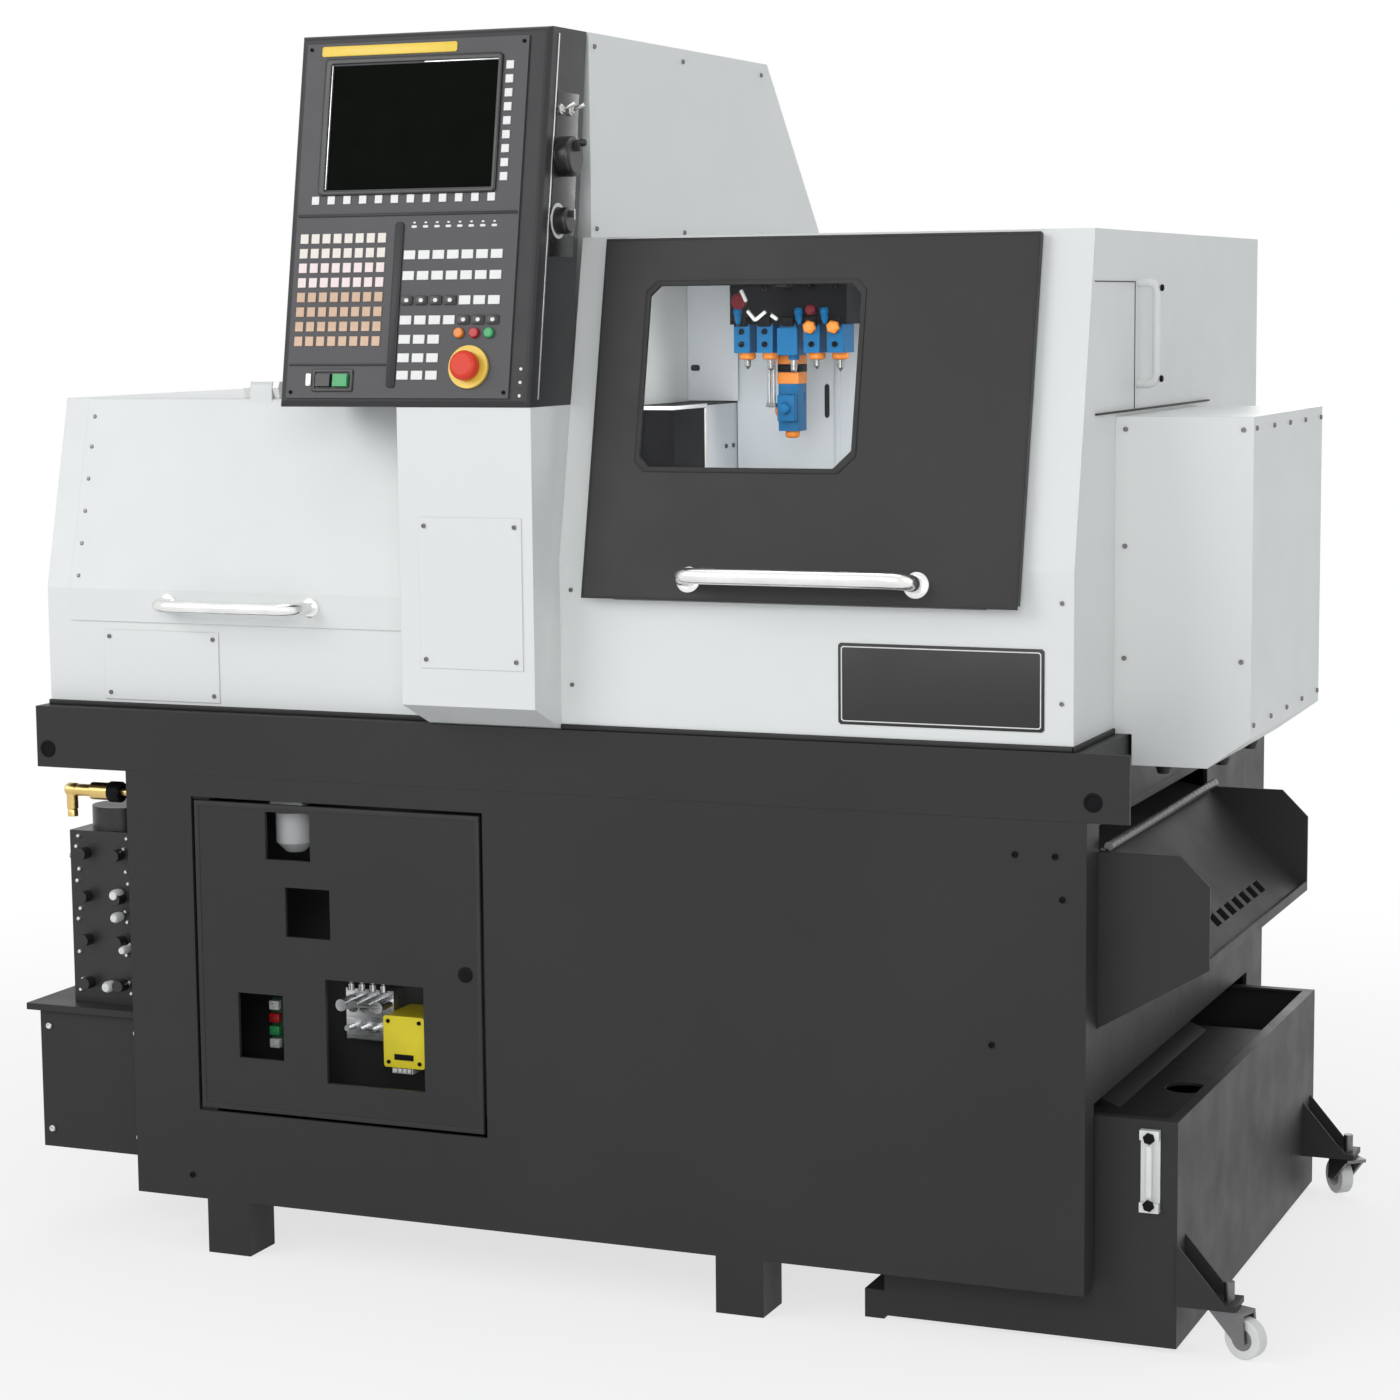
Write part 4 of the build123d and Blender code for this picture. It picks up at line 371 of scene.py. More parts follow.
# %% Clear finishes
def clear(name, colour, alpha_low, alpha_high, rough=0.06):
    look, nodes, links, shader, where = start_finish(name, colour)
    shader.inputs["Roughness"].default_value = rough
    shader.inputs["Specular IOR Level"].default_value = 0.5
    smear = noise(nodes, links, where, 9.0, 5.0, (1.0, 1.0, 0.35))
    drift_colour(nodes, links, smear, shader, colour, 0.06)
    veil = nodes.new("ShaderNodeMapRange")
    veil.inputs["From Min"].default_value = 0.35
    veil.inputs["From Max"].default_value = 0.75
    veil.inputs["To Min"].default_value = alpha_low
    veil.inputs["To Max"].default_value = alpha_high
    links.new(smear.outputs["Fac"], veil.inputs["Value"])
    links.new(veil.outputs[0], shader.inputs["Alpha"])
    look.surface_render_method = "BLENDED"
    return look


PANE = clear("window_pane", (0.09, 0.10, 0.105), 0.02, 0.05)
CLEAR_BOWL = clear("regulator_clear", (0.82, 0.84, 0.84), 0.50, 0.75, rough=0.12)
CLEAR_GAUGE = clear("gauge_clear", (0.88, 0.89, 0.87), 0.80, 0.95, rough=0.14)
SCREEN_GLASS = plastic("screen_glass", (0.0030, 0.0042, 0.0028), grain=0.02, drift=0.25, gloss=0.012)
print("clear finishes:", PANE.name, CLEAR_BOWL.name, CLEAR_GAUGE.name)

# %% [markdown]
# The letter keys are one CAD node in several tints: cream at the top, then pink, then two light browns.
# Their material reads the height of each point, so one node takes the tints in bands and no key has to
# be split off.

# %% Tinted key bands
def tinted_keys(name, bands):
    look, nodes, links, shader, where = start_finish(name, bands[0][1])
    shader.inputs["Roughness"].default_value = 0.42
    height = nodes.new("ShaderNodeSeparateXYZ")
    links.new(where.outputs["Object"], height.inputs[0])
    low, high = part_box("letter_keys")[0][2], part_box("letter_keys")[1][2]
    climb = nodes.new("ShaderNodeMapRange")
    climb.inputs["From Min"].default_value = low
    climb.inputs["From Max"].default_value = high
    links.new(height.outputs["Z"], climb.inputs["Value"])
    ramp = nodes.new("ShaderNodeValToRGB")
    ramp.color_ramp.interpolation = "CONSTANT"
    ramp.color_ramp.elements[0].position = bands[0][0]
    ramp.color_ramp.elements[0].color = (*bands[0][1], 1.0)
    ramp.color_ramp.elements[1].position = bands[1][0]
    ramp.color_ramp.elements[1].color = (*bands[1][1], 1.0)
    for start, colour in bands[2:]:
        stop = ramp.color_ramp.elements.new(start)
        stop.color = (*colour, 1.0)
    links.new(climb.outputs[0], ramp.inputs["Fac"])
    links.new(ramp.outputs["Color"], shader.inputs["Base Color"])
    texture = noise(nodes, links, where, 900.0, 2.0)
    skin(nodes, links, texture, shader, 0.1, 0.0002, 0.0006)
    return look


KEY_TINTS = tinted_keys(
    "key_tint",
    (
        (0.00, (0.66, 0.45, 0.31)),
        (0.16, (0.62, 0.42, 0.29)),
        (0.50, (0.85, 0.72, 0.71)),
        (0.74, (0.80, 0.75, 0.68)),
    ),
)
print("key tints:", KEY_TINTS.name)

# %% [markdown]
# Now each CAD node gets its finish. The record names a material slot for every node, and a table from
# slot to finish keeps the two lists in step: a node that is added later is dressed without new code.

# %% Dress the CAD nodes
FINISHES = {
    "cabinet_paint": CABINET_PAINT, "cover_paint": COVER_PAINT, "door_paint": DOOR_PAINT,
    "liner_paint": LINER_PAINT, "window_pane": PANE, "handle_chrome": CHROME,
    "bright_steel": BRIGHT_STEEL, "bed_casting": BED_CASTING, "column_black": BLACK_CASTING,
    "post_black": BLACK_OXIDE, "holder_blue": HOLDER_BLUE, "pendant_shell": PANEL_SHELL,
    "fascia_grey": FASCIA_FILM, "screen_glass": SCREEN_GLASS, "key_white": WHITE_CAP,
    "key_tint": KEY_TINTS, "estop_yellow": STOP_YELLOW, "estop_red": STOP_RED,
    "button_orange": ORANGE_CAP, "button_red": RED_CAP, "button_green": GREEN_CAP,
    "button_black": BLACK_CAP, "knob_black": KNOB_BLACK, "service_plate": BLACK_PLATE,
    "regulator_clear": CLEAR_BOWL, "valve_silver": VALVE_SILVER, "supply_yellow": YELLOW_CASE,
    "terminal_green": GREEN_STRIP, "pump_black": PUMP_BLACK, "coupler_brass": BRASS,
    "gauge_clear": CLEAR_GAUGE, "caster_zinc": DARK_ZINC, "caster_nylon": NYLON,
}
for entry in frame["record"]["subparts"]:
    cad_node = frame["nodes"][entry["node"]]
    look = FINISHES[entry["material_slot"]]
    if not cad_node.material_slots:
        cad_node.data.materials.append(look)
    for place in cad_node.material_slots:
        place.material = look

# %% [markdown]
# The small pieces share a few mesh helpers. A block is a box between two corners, a turned shape is
# spun from a profile as on a lathe, and a strip is an outline pulled to a thickness. Each is drawn in
# the flat space of the panel that carries it (along, up, out) and then laid on that panel by one
# matrix, which is simpler than working out every sloped corner by hand.

# %% Mesh helpers
def facing(origin, along, up):
    along = Vector(along).normalized()
    up = Vector(up).normalized()
    turn = Matrix((along, up, along.cross(up))).transposed()
    return Matrix.Translation(Vector(origin)) @ turn.to_4x4()


def block(mesh, low, high):
    for vert in bmesh.ops.create_cube(mesh, size=1.0)["verts"]:
        vert.co = Vector([low[i] + (vert.co[i] + 0.5) * (high[i] - low[i]) for i in range(3)])


def turned(mesh, profile, centre, normal=(0.0, 0.0, 1.0), sides=20):
    normal = Vector(normal).normalized()
    across = normal.orthogonal().normalized()
    beside = normal.cross(across)
    rings = []
    for radius, height in profile:
        middle = Vector(centre) + normal * height
        if radius <= 0.0:
            rings.append([mesh.verts.new(middle)])
            continue
        angles = [math.tau * k / sides for k in range(sides)]
        rings.append([
            mesh.verts.new(middle + (across * math.cos(a) + beside * math.sin(a)) * radius) for a in angles
        ])
    for below, above in zip(rings, rings[1:]):
        for k in range(sides):
            corners = []
            for ring, index in ((below, k), (below, k + 1), (above, k + 1), (above, k)):
                corner = ring[index % len(ring)]
                if corner not in corners:
                    corners.append(corner)
            mesh.faces.new(corners)


def sized(profile, size):
    return [(radius * size, height * size) for radius, height in profile]


def widened(profile, share):
    return [(radius * share, height) for radius, height in profile]


def strip(mesh, outline, low, high):
    bottom = [mesh.verts.new((x, y, low)) for x, y in outline]
    top = [mesh.verts.new((x, y, high)) for x, y in outline]
    mesh.faces.new(top)
    mesh.faces.new(bottom[::-1])
    for k in range(len(outline)):
        n = (k + 1) % len(outline)
        mesh.faces.new((bottom[k], bottom[n], top[n], top[k]))


def frame_strip(mesh, inner, outer, low, high):
    rows = [[mesh.verts.new((x, y, z)) for x, y in line] for line in (inner, outer) for z in (low, high)]
    inner_low, inner_high, outer_low, outer_high = rows
    for k in range(len(inner)):
        n = (k + 1) % len(inner)
        mesh.faces.new((inner_high[k], inner_high[n], outer_high[n], outer_high[k]))
        mesh.faces.new((outer_low[k], outer_low[n], inner_low[n], inner_low[k]))
        mesh.faces.new((outer_low[n], outer_low[k], outer_high[k], outer_high[n]))
        mesh.faces.new((inner_low[k], inner_low[n], inner_high[n], inner_high[k]))


def oblong(left, right, low, high, corner=0.0):
    if corner <= 0.0:
        return [(left, low), (right, low), (right, high), (left, high)]
    return [
        (left + corner, low), (right - corner, low), (right, low + corner), (right, high - corner),
        (right - corner, high), (left + corner, high), (left, high - corner), (left, low + corner),
    ]


def settle(name, mesh, finish, body, place=None, soften=0.0004):
    bmesh.ops.recalc_face_normals(mesh, faces=mesh.faces[:])
    if soften > 0.0:
        sharp = [e for e in mesh.edges if e.is_manifold and e.calc_face_angle(0.0) > 0.6]
        bmesh.ops.bevel(mesh, geom=sharp, offset=soften, segments=2, affect="EDGES", profile=0.5,
                        clamp_overlap=True)
    data = bpy.data.meshes.new(name)
    mesh.to_mesh(data)
    mesh.free()
    if place is not None:
        data.transform(place)
    data.materials.append(finish)
    data.polygons.foreach_set("use_smooth", [True] * len(data.polygons))
    data.set_sharp_from_angle(angle=math.radians(32.0))
    made = bpy.data.objects.new(name, data)
    scene.collection.objects.link(made)
    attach(made, body)
    print("made", name, len(data.polygons), "faces on", body)
    return made


# %% [markdown]
# These are the panels that the pieces lie on. The three sloped ones repeat the leans of the hood, the
# headstock cover and the operator panel; the upright ones need only the distance at which they stand.

# %% Panel spaces
DECK_TOP = 0.798
BASE_FRONT, BASE_BACK = -0.520, 0.520
HOOD_FRONT, HOOD_END = -0.513, 0.868
COVER_FRONT, COVER_END = -0.493, -0.696
TOWER_LEFT, TOWER_RIGHT, TOWER_BACK = -0.255, 0.143, 0.512
BAY_FRONT, BOX_FRONT, BOX_END = -0.598, -0.318, 1.054
HOOD_SLOPE = facing((0.0, HOOD_FRONT, 1.030), (1, 0, 0), (0.0, 0.092, 0.437))
COVER_SLOPE = facing((0.0, COVER_FRONT, 0.971), (1, 0, 0), (0.0, 0.068, 0.275))
PANEL_SLOPE = facing((-0.237, -0.602, 1.240), (1, 0, 0), (0.0, 0.090, 0.506))


def front_at(y):
    return facing((0.0, y, 0.0), (1, 0, 0), (0, 0, 1))


def right_at(x):
    return facing((x, 0.0, 0.0), (0, 1, 0), (0, 0, 1))


def rear_at(y):
    return facing((0.0, y, 0.0), (-1, 0, 0), (0, 0, 1))


def left_at(x):
    return facing((x, 0.0, 0.0), (0, -1, 0), (0, 0, 1))


def top_at(z):
    return facing((0.0, 0.0, z), (1, 0, 0), (0, 1, 0))


print("panel spaces ready")

# %% [markdown]
# A soft rubber lip closes the joint between the pale covers and the dark deck. It is what draws the
# thin black line under the covers, which is partly this seal and partly painted shade under the covers'
# bottom edge, and a lip along each face follows the steps of the front.

# %% Deck seal and shade line
SEAL_AND_SHADE_HEIGHT = 0.0075
SEAL_AND_SHADE_RUNS = (
    ((-0.6985, -0.4965), (-0.058, -0.4905)), ((0.143, -0.5165), (0.8705, -0.5105)),
    ((0.8655, -0.5165), (0.8712, -0.3195)), ((-0.6990, -0.4960), (-0.6935, 0.5235)),
    ((-0.6985, 0.5175), (0.8705, 0.5235)), ((0.8655, 0.1195), (0.8712, 0.5235)),
)
# Partly painted shade: the black strip is a rubber seal and also the shade line under the covers' bottom
# edge.
seal_and_shade = bmesh.new()
for start, end in SEAL_AND_SHADE_RUNS:
    block(seal_and_shade, (*start, DECK_TOP), (*end, DECK_TOP + SEAL_AND_SHADE_HEIGHT))
settle("deck_seal_and_shade", seal_and_shade, RUBBER, "machine", soften=0.0015)

# %% [markdown]
# The sliding door's pane sits in a black rubber moulding, and each end of the polished bar stands on
# a small collar. The moulding follows the window's own outline, which has one corner cut larger than
# the others.

# %% Door trim
DOOR_FACE = 0.0165


def window_edge(grow):
    left, right = 0.257 - grow, 0.562 + grow
    low, high = 0.126 - grow, 0.376 + grow
    small, large = 0.014, 0.024
    return [
        (left + small, low), (right - large, low), (right, low + large), (right, high - small),
        (right - small, high), (left + small, high), (left, high - small), (left, low + small),
    ]


moulding = bmesh.new()
frame_strip(moulding, window_edge(-0.0015), window_edge(0.0055), DOOR_FACE - 0.004, DOOR_FACE + 0.0015)
settle("window_moulding", moulding, RUBBER, "front_door", HOOD_SLOPE, soften=0.0008)

COLLAR = [(0.0, 0.0), (0.0175, 0.0), (0.0175, 0.0030), (0.0150, 0.0048), (0.0115, 0.0052), (0.0, 0.0052)]
collars = bmesh.new()
for along in (0.343, 0.663):
    turned(collars, COLLAR, (along, -0.024, DOOR_FACE), sides=28)
settle("door_bar_collars", collars, CHROME, "front_door", HOOD_SLOPE, soften=0.0)

door_edge = bmesh.new()
frame_strip(door_edge, oblong(0.1905, 0.7965, -0.0485, 0.4365), oblong(0.1875, 0.7995, -0.0515, 0.4395),
            DOOR_FACE - 0.002, DOOR_FACE + 0.0006)
settle("door_edge_bead", door_edge, RUBBER, "front_door", HOOD_SLOPE, soften=0.0003)

# %% [markdown]
# The hinged cover of the headstock has its own smaller bar with the same kind of collars, and a row of
# flat rivets holds its left edge to a stiffener behind the sheet.

# %% Headstock door trim
FLIP_FACE = 0.003
bar_feet = bmesh.new()
for along in (-0.489, -0.255):
    turned(bar_feet, widened(COLLAR, 0.82), (along, 0.953, FLIP_FACE), sides=28)
settle("cover_bar_collars", bar_feet, CHROME, "headstock_door", front_at(COVER_FRONT),
       soften=0.0)

RIVET = [(0.0, 0.0), (1.0, 0.0), (1.0, 0.25), (0.72, 0.55), (0.0, 0.70)]
flip_rivets = bmesh.new()
for climb in (0.018, 0.066, 0.114, 0.162, 0.210, 0.255):
    turned(flip_rivets, sized(RIVET, 0.0030), (-0.643, climb, FLIP_FACE), sides=12)
settle("cover_edge_rivets", flip_rivets, DARK_ZINC, "headstock_door", COVER_SLOPE, soften=0.0)

# %% [markdown]
# Socket screws hold the removable plates. One profile serves them all: a low round head with a flat
# top and a sunk socket, spun at each listed place. Real builders put them at the corners and at even
# steps along an edge, so the lists follow the plates.

# %% Socket screws
SCREW = [(0.0, 0.0), (1.0, 0.0), (1.0, 0.55), (0.84, 0.80), (0.46, 0.80), (0.46, 0.35), (0.0, 0.35)]


def screw_set(name, spots, size, place, finish=DARK_ZINC, body="machine", lift=0.0):
    heads = bmesh.new()
    for along, up in spots:
        turned(heads, sized(SCREW, size), (along, up, lift), sides=16)
    return settle(name, heads, finish, body, place, soften=0.0)


plate_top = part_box("inspection_plates")[1][2]
bay_corners = [(x, z) for x in (-0.019, 0.117) for z in (0.898, plate_top - 0.012)]
screw_set("bay_plate_screws", bay_corners, 0.0032, front_at(BAY_FRONT))
cover_corners = [(x, z) for x in (-0.591, -0.417) for z in (0.820, 0.902)]
screw_set("cover_plate_screws", cover_corners, 0.0032, front_at(COVER_FRONT - 0.002))
screw_set("hood_front_screws", [(0.160, 0.860), (0.160, 0.990), (0.852, 0.860), (0.852, 0.990)], 0.0030,
          front_at(HOOD_FRONT))
box_spots = [(0.882, 1.205), (0.882, 0.900), (0.882, 1.050), (1.040, 1.205), (1.040, 0.900)]
screw_set("side_box_front_screws", box_spots, 0.0034, front_at(BOX_FRONT))
side_steps = [(y, 1.207) for y in (-0.305, -0.200, -0.100, 0.000, 0.105)]
side_steps += [(y, 0.815) for y in (-0.305, -0.200, -0.100, 0.000, 0.105)]
screw_set("side_box_end_screws", side_steps, 0.0034, right_at(BOX_END))
screw_set("tower_side_screws", [(y, z) for y in (-0.375, -0.060, 0.255) for z in (1.480, 1.728)], 0.0034,
          right_at(TOWER_RIGHT))
plug_spots = [(-0.461, 0.114), (0.792, 0.662), (0.846, 0.662), (0.856, 0.606), (0.761, 0.407)]
screw_set("base_front_plugs", plug_spots, 0.0042, front_at(BASE_FRONT), finish=BLACK_OXIDE)

# %% [markdown]
# On the front of the hood sits a plain dark plate with one pale line just inside its edge. The plate
# is a thin strip with cut corners, and the line is a narrow frame laid on top of it.

# %% Bare plate on the hood
dark_plate = bmesh.new()
strip(dark_plate, oblong(0.547, 0.829, 0.822, 0.930, 0.003), 0.0, 0.0014)
settle("hood_plate", dark_plate, BLACK_PLATE, "machine", front_at(HOOD_FRONT), soften=0.0003)
pale_line = bmesh.new()
line_inside = oblong(0.5525, 0.8235, 0.8275, 0.9245, 0.002)
line_outside = oblong(0.5510, 0.8250, 0.8260, 0.9260, 0.0025)
frame_strip(pale_line, line_inside, line_outside, 0.0012, 0.0017)
settle("hood_plate_line", pale_line, WHITE_CAP, "machine", front_at(HOOD_FRONT), soften=0.0)

# %% [markdown]
# The operator panel carries the finest detail. A bright trim and a dark bezel frame the screen, a
# plain yellow strip runs along the top, and low ridges part the key fields. They are all thin strips
# drawn in the panel's own slope, so their places can be read straight off its face.

# %% Operator panel face
FASCIA = 0.003
panel_strip = bmesh.new()
strip(panel_strip, oblong(0.036, 0.243, 0.4835, 0.4975, 0.002), FASCIA, FASCIA + 0.0014)
settle("panel_top_strip", panel_strip, STOP_YELLOW, "machine", PANEL_SLOPE)

bezel = bmesh.new()
bezel_inside = oblong(0.0530, 0.3080, 0.2960, 0.4725, 0.002)
bezel_outside = oblong(0.0430, 0.3135, 0.2905, 0.4800, 0.004)
frame_strip(bezel, bezel_inside, bezel_outside, FASCIA, FASCIA + 0.0035)
settle("screen_bezel", bezel, BLACK_CAP, "machine", PANEL_SLOPE, soften=0.0008)
trim = bmesh.new()
strip(trim, oblong(0.0532, 0.0550, 0.2990, 0.4715), 0.0012, FASCIA + 0.0018)
strip(trim, oblong(0.1950, 0.3070, 0.4705, 0.4722), 0.0012, FASCIA + 0.0018)
settle("screen_trim", trim, VALVE_SILVER, "machine", PANEL_SLOPE, soften=0.0002)

ridges = bmesh.new()
strip(ridges, oblong(0.1660, 0.1790, 0.026, 0.252, 0.003), FASCIA, FASCIA + 0.0024)
strip(ridges, oblong(0.0140, 0.3480, 0.2610, 0.2650, 0.001), FASCIA, FASCIA + 0.0016)
strip(ridges, oblong(0.0140, 0.1640, 0.0560, 0.0590, 0.001), FASCIA, FASCIA + 0.0012)
settle("panel_ridges", ridges, PANEL_SHELL, "machine", PANEL_SLOPE, soften=0.0006)

lamps_row = bmesh.new()
for k in range(8):
    left = 0.190 + 0.0172 * k
    strip(lamps_row, oblong(left, left + 0.0085, 0.2440, 0.2475, 0.0012), FASCIA, FASCIA + 0.0008)
    strip(lamps_row, oblong(left + 0.002, left + 0.0065, 0.2500, 0.2525, 0.001), FASCIA, FASCIA + 0.0006)
settle("panel_signal_lamps", lamps_row, WHITE_CAP, "machine", PANEL_SLOPE, soften=0.0002)

power_frame = bmesh.new()
power_inside = oblong(0.0565, 0.1105, 0.0245, 0.0475, 0.001)
power_outside = oblong(0.0520, 0.1150, 0.0205, 0.0515, 0.002)
frame_strip(power_frame, power_inside, power_outside, FASCIA, FASCIA + 0.0020)
settle("power_key_frame", power_frame, BLACK_CAP, "machine", PANEL_SLOPE)
power_edge = bmesh.new()
strip(power_edge, oblong(0.0420, 0.0500, 0.0285, 0.0455, 0.001), FASCIA, FASCIA + 0.0018)
settle("power_key_edge", power_edge, VALVE_SILVER, "machine", PANEL_SLOPE)
panel_corners = [(0.019, 0.020), (0.343, 0.020), (0.019, 0.494), (0.343, 0.494)]
screw_set("panel_corner_screws", panel_corners, 0.0026, PANEL_SLOPE, lift=FASCIA, finish=BLACK_OXIDE)

KEY_TOP = FASCIA + 0.0015
PANEL_WIDE, PANEL_TALL = 0.380, 0.5139
dark_caps = bmesh.new()
dark_signs = bmesh.new()
for climb, columns in ((0.282, (0, 1, 2, 3)), (0.230, (4, 5, 6))):
    for k in columns:
        u, v = PANEL_WIDE * (0.500 + 0.0575 * k), PANEL_TALL * climb
        cap_edge = oblong(u - 0.0090, u + 0.0090, v - 0.0064, v + 0.0064, 0.0012)
        sign_edge = oblong(u - 0.0030, u + 0.0030, v - 0.0026, v + 0.0026, 0.0014)
        strip(dark_caps, cap_edge, FASCIA, KEY_TOP + 0.0006)
        strip(dark_signs, sign_edge, KEY_TOP, KEY_TOP + 0.0009)
settle("sign_key_caps", dark_caps, BLACK_CAP, "machine", PANEL_SLOPE, soften=0.0003)
settle("sign_key_marks", dark_signs, WHITE_CAP, "machine", PANEL_SLOPE, soften=0.0)
PIN = [(0.0, 0.0), (0.0024, 0.0), (0.0020, 0.0014), (0.0, 0.0016)]
edge_pins = bmesh.new()
for climb in (0.016, 0.034, 0.052):
    turned(edge_pins, PIN, (0.3655, climb, 0.0), sides=14)
settle("panel_edge_pins", edge_pins, WHITE_CAP, "machine", PANEL_SLOPE, soften=0.0)

# %% [markdown]
# The right-hand side of the panel holds the jog wheel and a selector. A slim plate sits under both, a
# pale scale ring shows behind the selector, and two small toggle switches stand above the wheel. The
# wheel turns in CAD, so its finger grip rides on the wheel while the plate stays with the machine.

# %% Operator panel side
SIDE = TOWER_RIGHT
side_plate = bmesh.new()
strip(side_plate, [(-0.5330, 1.4400), (-0.4560, 1.4400), (-0.4270, 1.6600), (-0.4960, 1.6600)], 0.0, 0.0006)
settle("panel_side_plate", side_plate, BLACK_CAP, "machine", right_at(SIDE), soften=0.0002)
# Painted highlight: this thin silver strip near the front edge of the panel's side stands for the bright line
# that the light draws along that edge.
side_edge_highlight = bmesh.new()
strip(side_edge_highlight, [(-0.5745, 1.2500), (-0.5715, 1.2500), (-0.4865, 1.7380), (-0.4895, 1.7380)], 0.0, 0.0010)
settle("panel_side_edge_highlight", side_edge_highlight, VALVE_SILVER, "machine", right_at(SIDE), soften=0.0003)

scale = bmesh.new()
turned(scale, [(0.0188, 0.0), (0.0240, 0.0), (0.0240, 0.0008), (0.0188, 0.0008), (0.0188, 0.0)],
       (-0.501, 1.488, 0.0), sides=36)
settle("selector_scale", scale, WHITE_CAP, "machine", right_at(SIDE), soften=0.0)

TOGGLE_NUT = [(0.0, 0.0), (0.0075, 0.0), (0.0075, 0.0035), (0.0050, 0.0045), (0.0045, 0.0070), (0.0, 0.0070)]
TOGGLE_BAT = [(0.0, 0.0), (0.0022, 0.0), (0.0034, 0.0150), (0.0026, 0.0172), (0.0, 0.0178)]
toggles = bmesh.new()
for y, z in ((-0.492, 1.637), (-0.462, 1.637)):
    turned(toggles, TOGGLE_NUT, (y, z, 0.0006), sides=6)
    turned(toggles, TOGGLE_BAT, (y, z, 0.0070), normal=(0.0, 0.45, 1.0), sides=14)
settle("side_toggles", toggles, BRIGHT_STEEL, "machine", right_at(SIDE), soften=0.0)

wheel_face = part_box("handwheel")[1][0] - SIDE
grip = bmesh.new()
GRIP = [(0.0, 0.0), (0.0042, 0.0), (0.0036, 0.0030), (0.0052, 0.0090), (0.0052, 0.0130), (0.0030, 0.0155)]
turned(grip, GRIP + [(0.0, 0.0160)], (-0.487, 1.592, wheel_face - 0.0085), sides=18)
settle("wheel_finger_grip", grip, KNOB_BLACK, "handwheel", right_at(SIDE), soften=0.0)

knob_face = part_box("selector_knob")[1][0] - SIDE
pointer = bmesh.new()
strip(pointer, oblong(-0.5022, -0.4998, 1.4890, 1.5035), knob_face - 0.0005, knob_face + 0.0006)
settle("selector_pointer", pointer, WHITE_CAP, "selector_knob", right_at(SIDE), soften=0.0002)

# %% [markdown]
# Through the window one sees the gang of tools. Each blue holder ends in an orange nut with a short
# steel bit, and dark clamp screws hold it to the black post above. The long arm carries a small
# drilling head with orange and blue parts. They all ride on the tool post, so they follow its feed and
# the vertical slide that carries it.

# %% Tools on the post
gang_low, gang_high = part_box("tool_holders")
FACE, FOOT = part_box("tool_post")[0][1:]
HOLDER_XS = [gang_low[0] + 0.012 + (gang_high[0] - gang_low[0] - 0.024) * k / 4 for k in range(5)]
HOLDER_Y = FACE + 0.023
FRONT = (0.0, -1.0, 0.0)
DOWN = (0.0, 0.0, -1.0)


def tube(mesh, start, end, radius, sides=12):
    way = Vector(end) - Vector(start)
    length = way.length
    turned(mesh, [(0.0, 0.0), (radius, 0.0), (radius, length), (0.0, length)], start, normal=way, sides=sides)


NUT = [(0.0085, 0.0), (0.0112, 0.0), (0.0120, 0.0020), (0.0120, 0.0075), (0.0095, 0.0098), (0.0085, 0.0098)]
nuts = bmesh.new()
bits = bmesh.new()
for k, x in enumerate(HOLDER_XS):
    if k != 2:
        turned(nuts, NUT + NUT[:1], (x, HOLDER_Y, FOOT - 0.0398), normal=DOWN, sides=12)
    reach = 0.010 + 0.003 * (k % 3)
    turned(bits, [(0.0, 0.0), (0.0050, 0.0), (0.0046, reach), (0.0, reach + 0.005)],
           (x, HOLDER_Y, FOOT - 0.0490), normal=DOWN, sides=12)
settle("holder_nuts", nuts, ORANGE_CAP, "tool_post", soften=0.0)
settle("holder_bits", bits, BRIGHT_STEEL, "tool_post", soften=0.0)

clamps = bmesh.new()
for x in HOLDER_XS:
    for z in (FOOT - 0.0280, FOOT - 0.0100):
        turned(clamps, sized(SCREW, 0.0042), (x, FACE, z), normal=FRONT, sides=14)
    block(clamps, (x - 0.0090, FACE - 0.0050, FOOT - 0.0030), (x + 0.0090, FACE + 0.0010, FOOT + 0.0110))
settle("holder_clamps", clamps, BLACK_OXIDE, "tool_post", soften=0.0006)

NOZZLE = [(0.0, 0.0), (0.0060, 0.0), (0.0060, 0.0060), (0.0045, 0.0075), (0.0050, 0.0150), (0.0025, 0.0240)]
nozzles = bmesh.new()
for x in (HOLDER_XS[0] - 0.006, HOLDER_XS[2] + 0.016, HOLDER_XS[4] - 0.016):
    turned(nozzles, NOZZLE + [(0.0, 0.0240)], (x, FACE, FOOT + 0.0200), normal=(0.25, -0.55, -0.80), sides=14)
block(nozzles, (HOLDER_XS[2] - 0.0150, FACE - 0.0040, FOOT - 0.0430),
      (HOLDER_XS[2] + 0.0150, FACE, FOOT - 0.0050))
settle("coolant_nozzles", nozzles, HOLDER_BLUE, "tool_post", soften=0.0)
UNION = [(0.0, 0.0), (0.0095, 0.0), (0.0095, 0.0060), (0.0065, 0.0085), (0.0, 0.0085)]
unions_front = bmesh.new()
for x in HOLDER_XS[3:]:
    turned(unions_front, UNION, (x, FACE - 0.0050, FOOT - 0.0040), normal=FRONT, sides=6)
settle("nozzle_nuts", unions_front, ORANGE_CAP, "tool_post", soften=0.0)
red_cap = bmesh.new()
for x, z, size in ((0.2920, FOOT + 0.0330, 1.20), (HOLDER_XS[3], FOOT + 0.0200, 0.80)):
    turned(red_cap, widened(UNION, size), (x, FACE, z), normal=FRONT, sides=16)
settle("post_red_caps", red_cap, DARK_RED, "tool_post", soften=0.0)
pipes = bmesh.new()
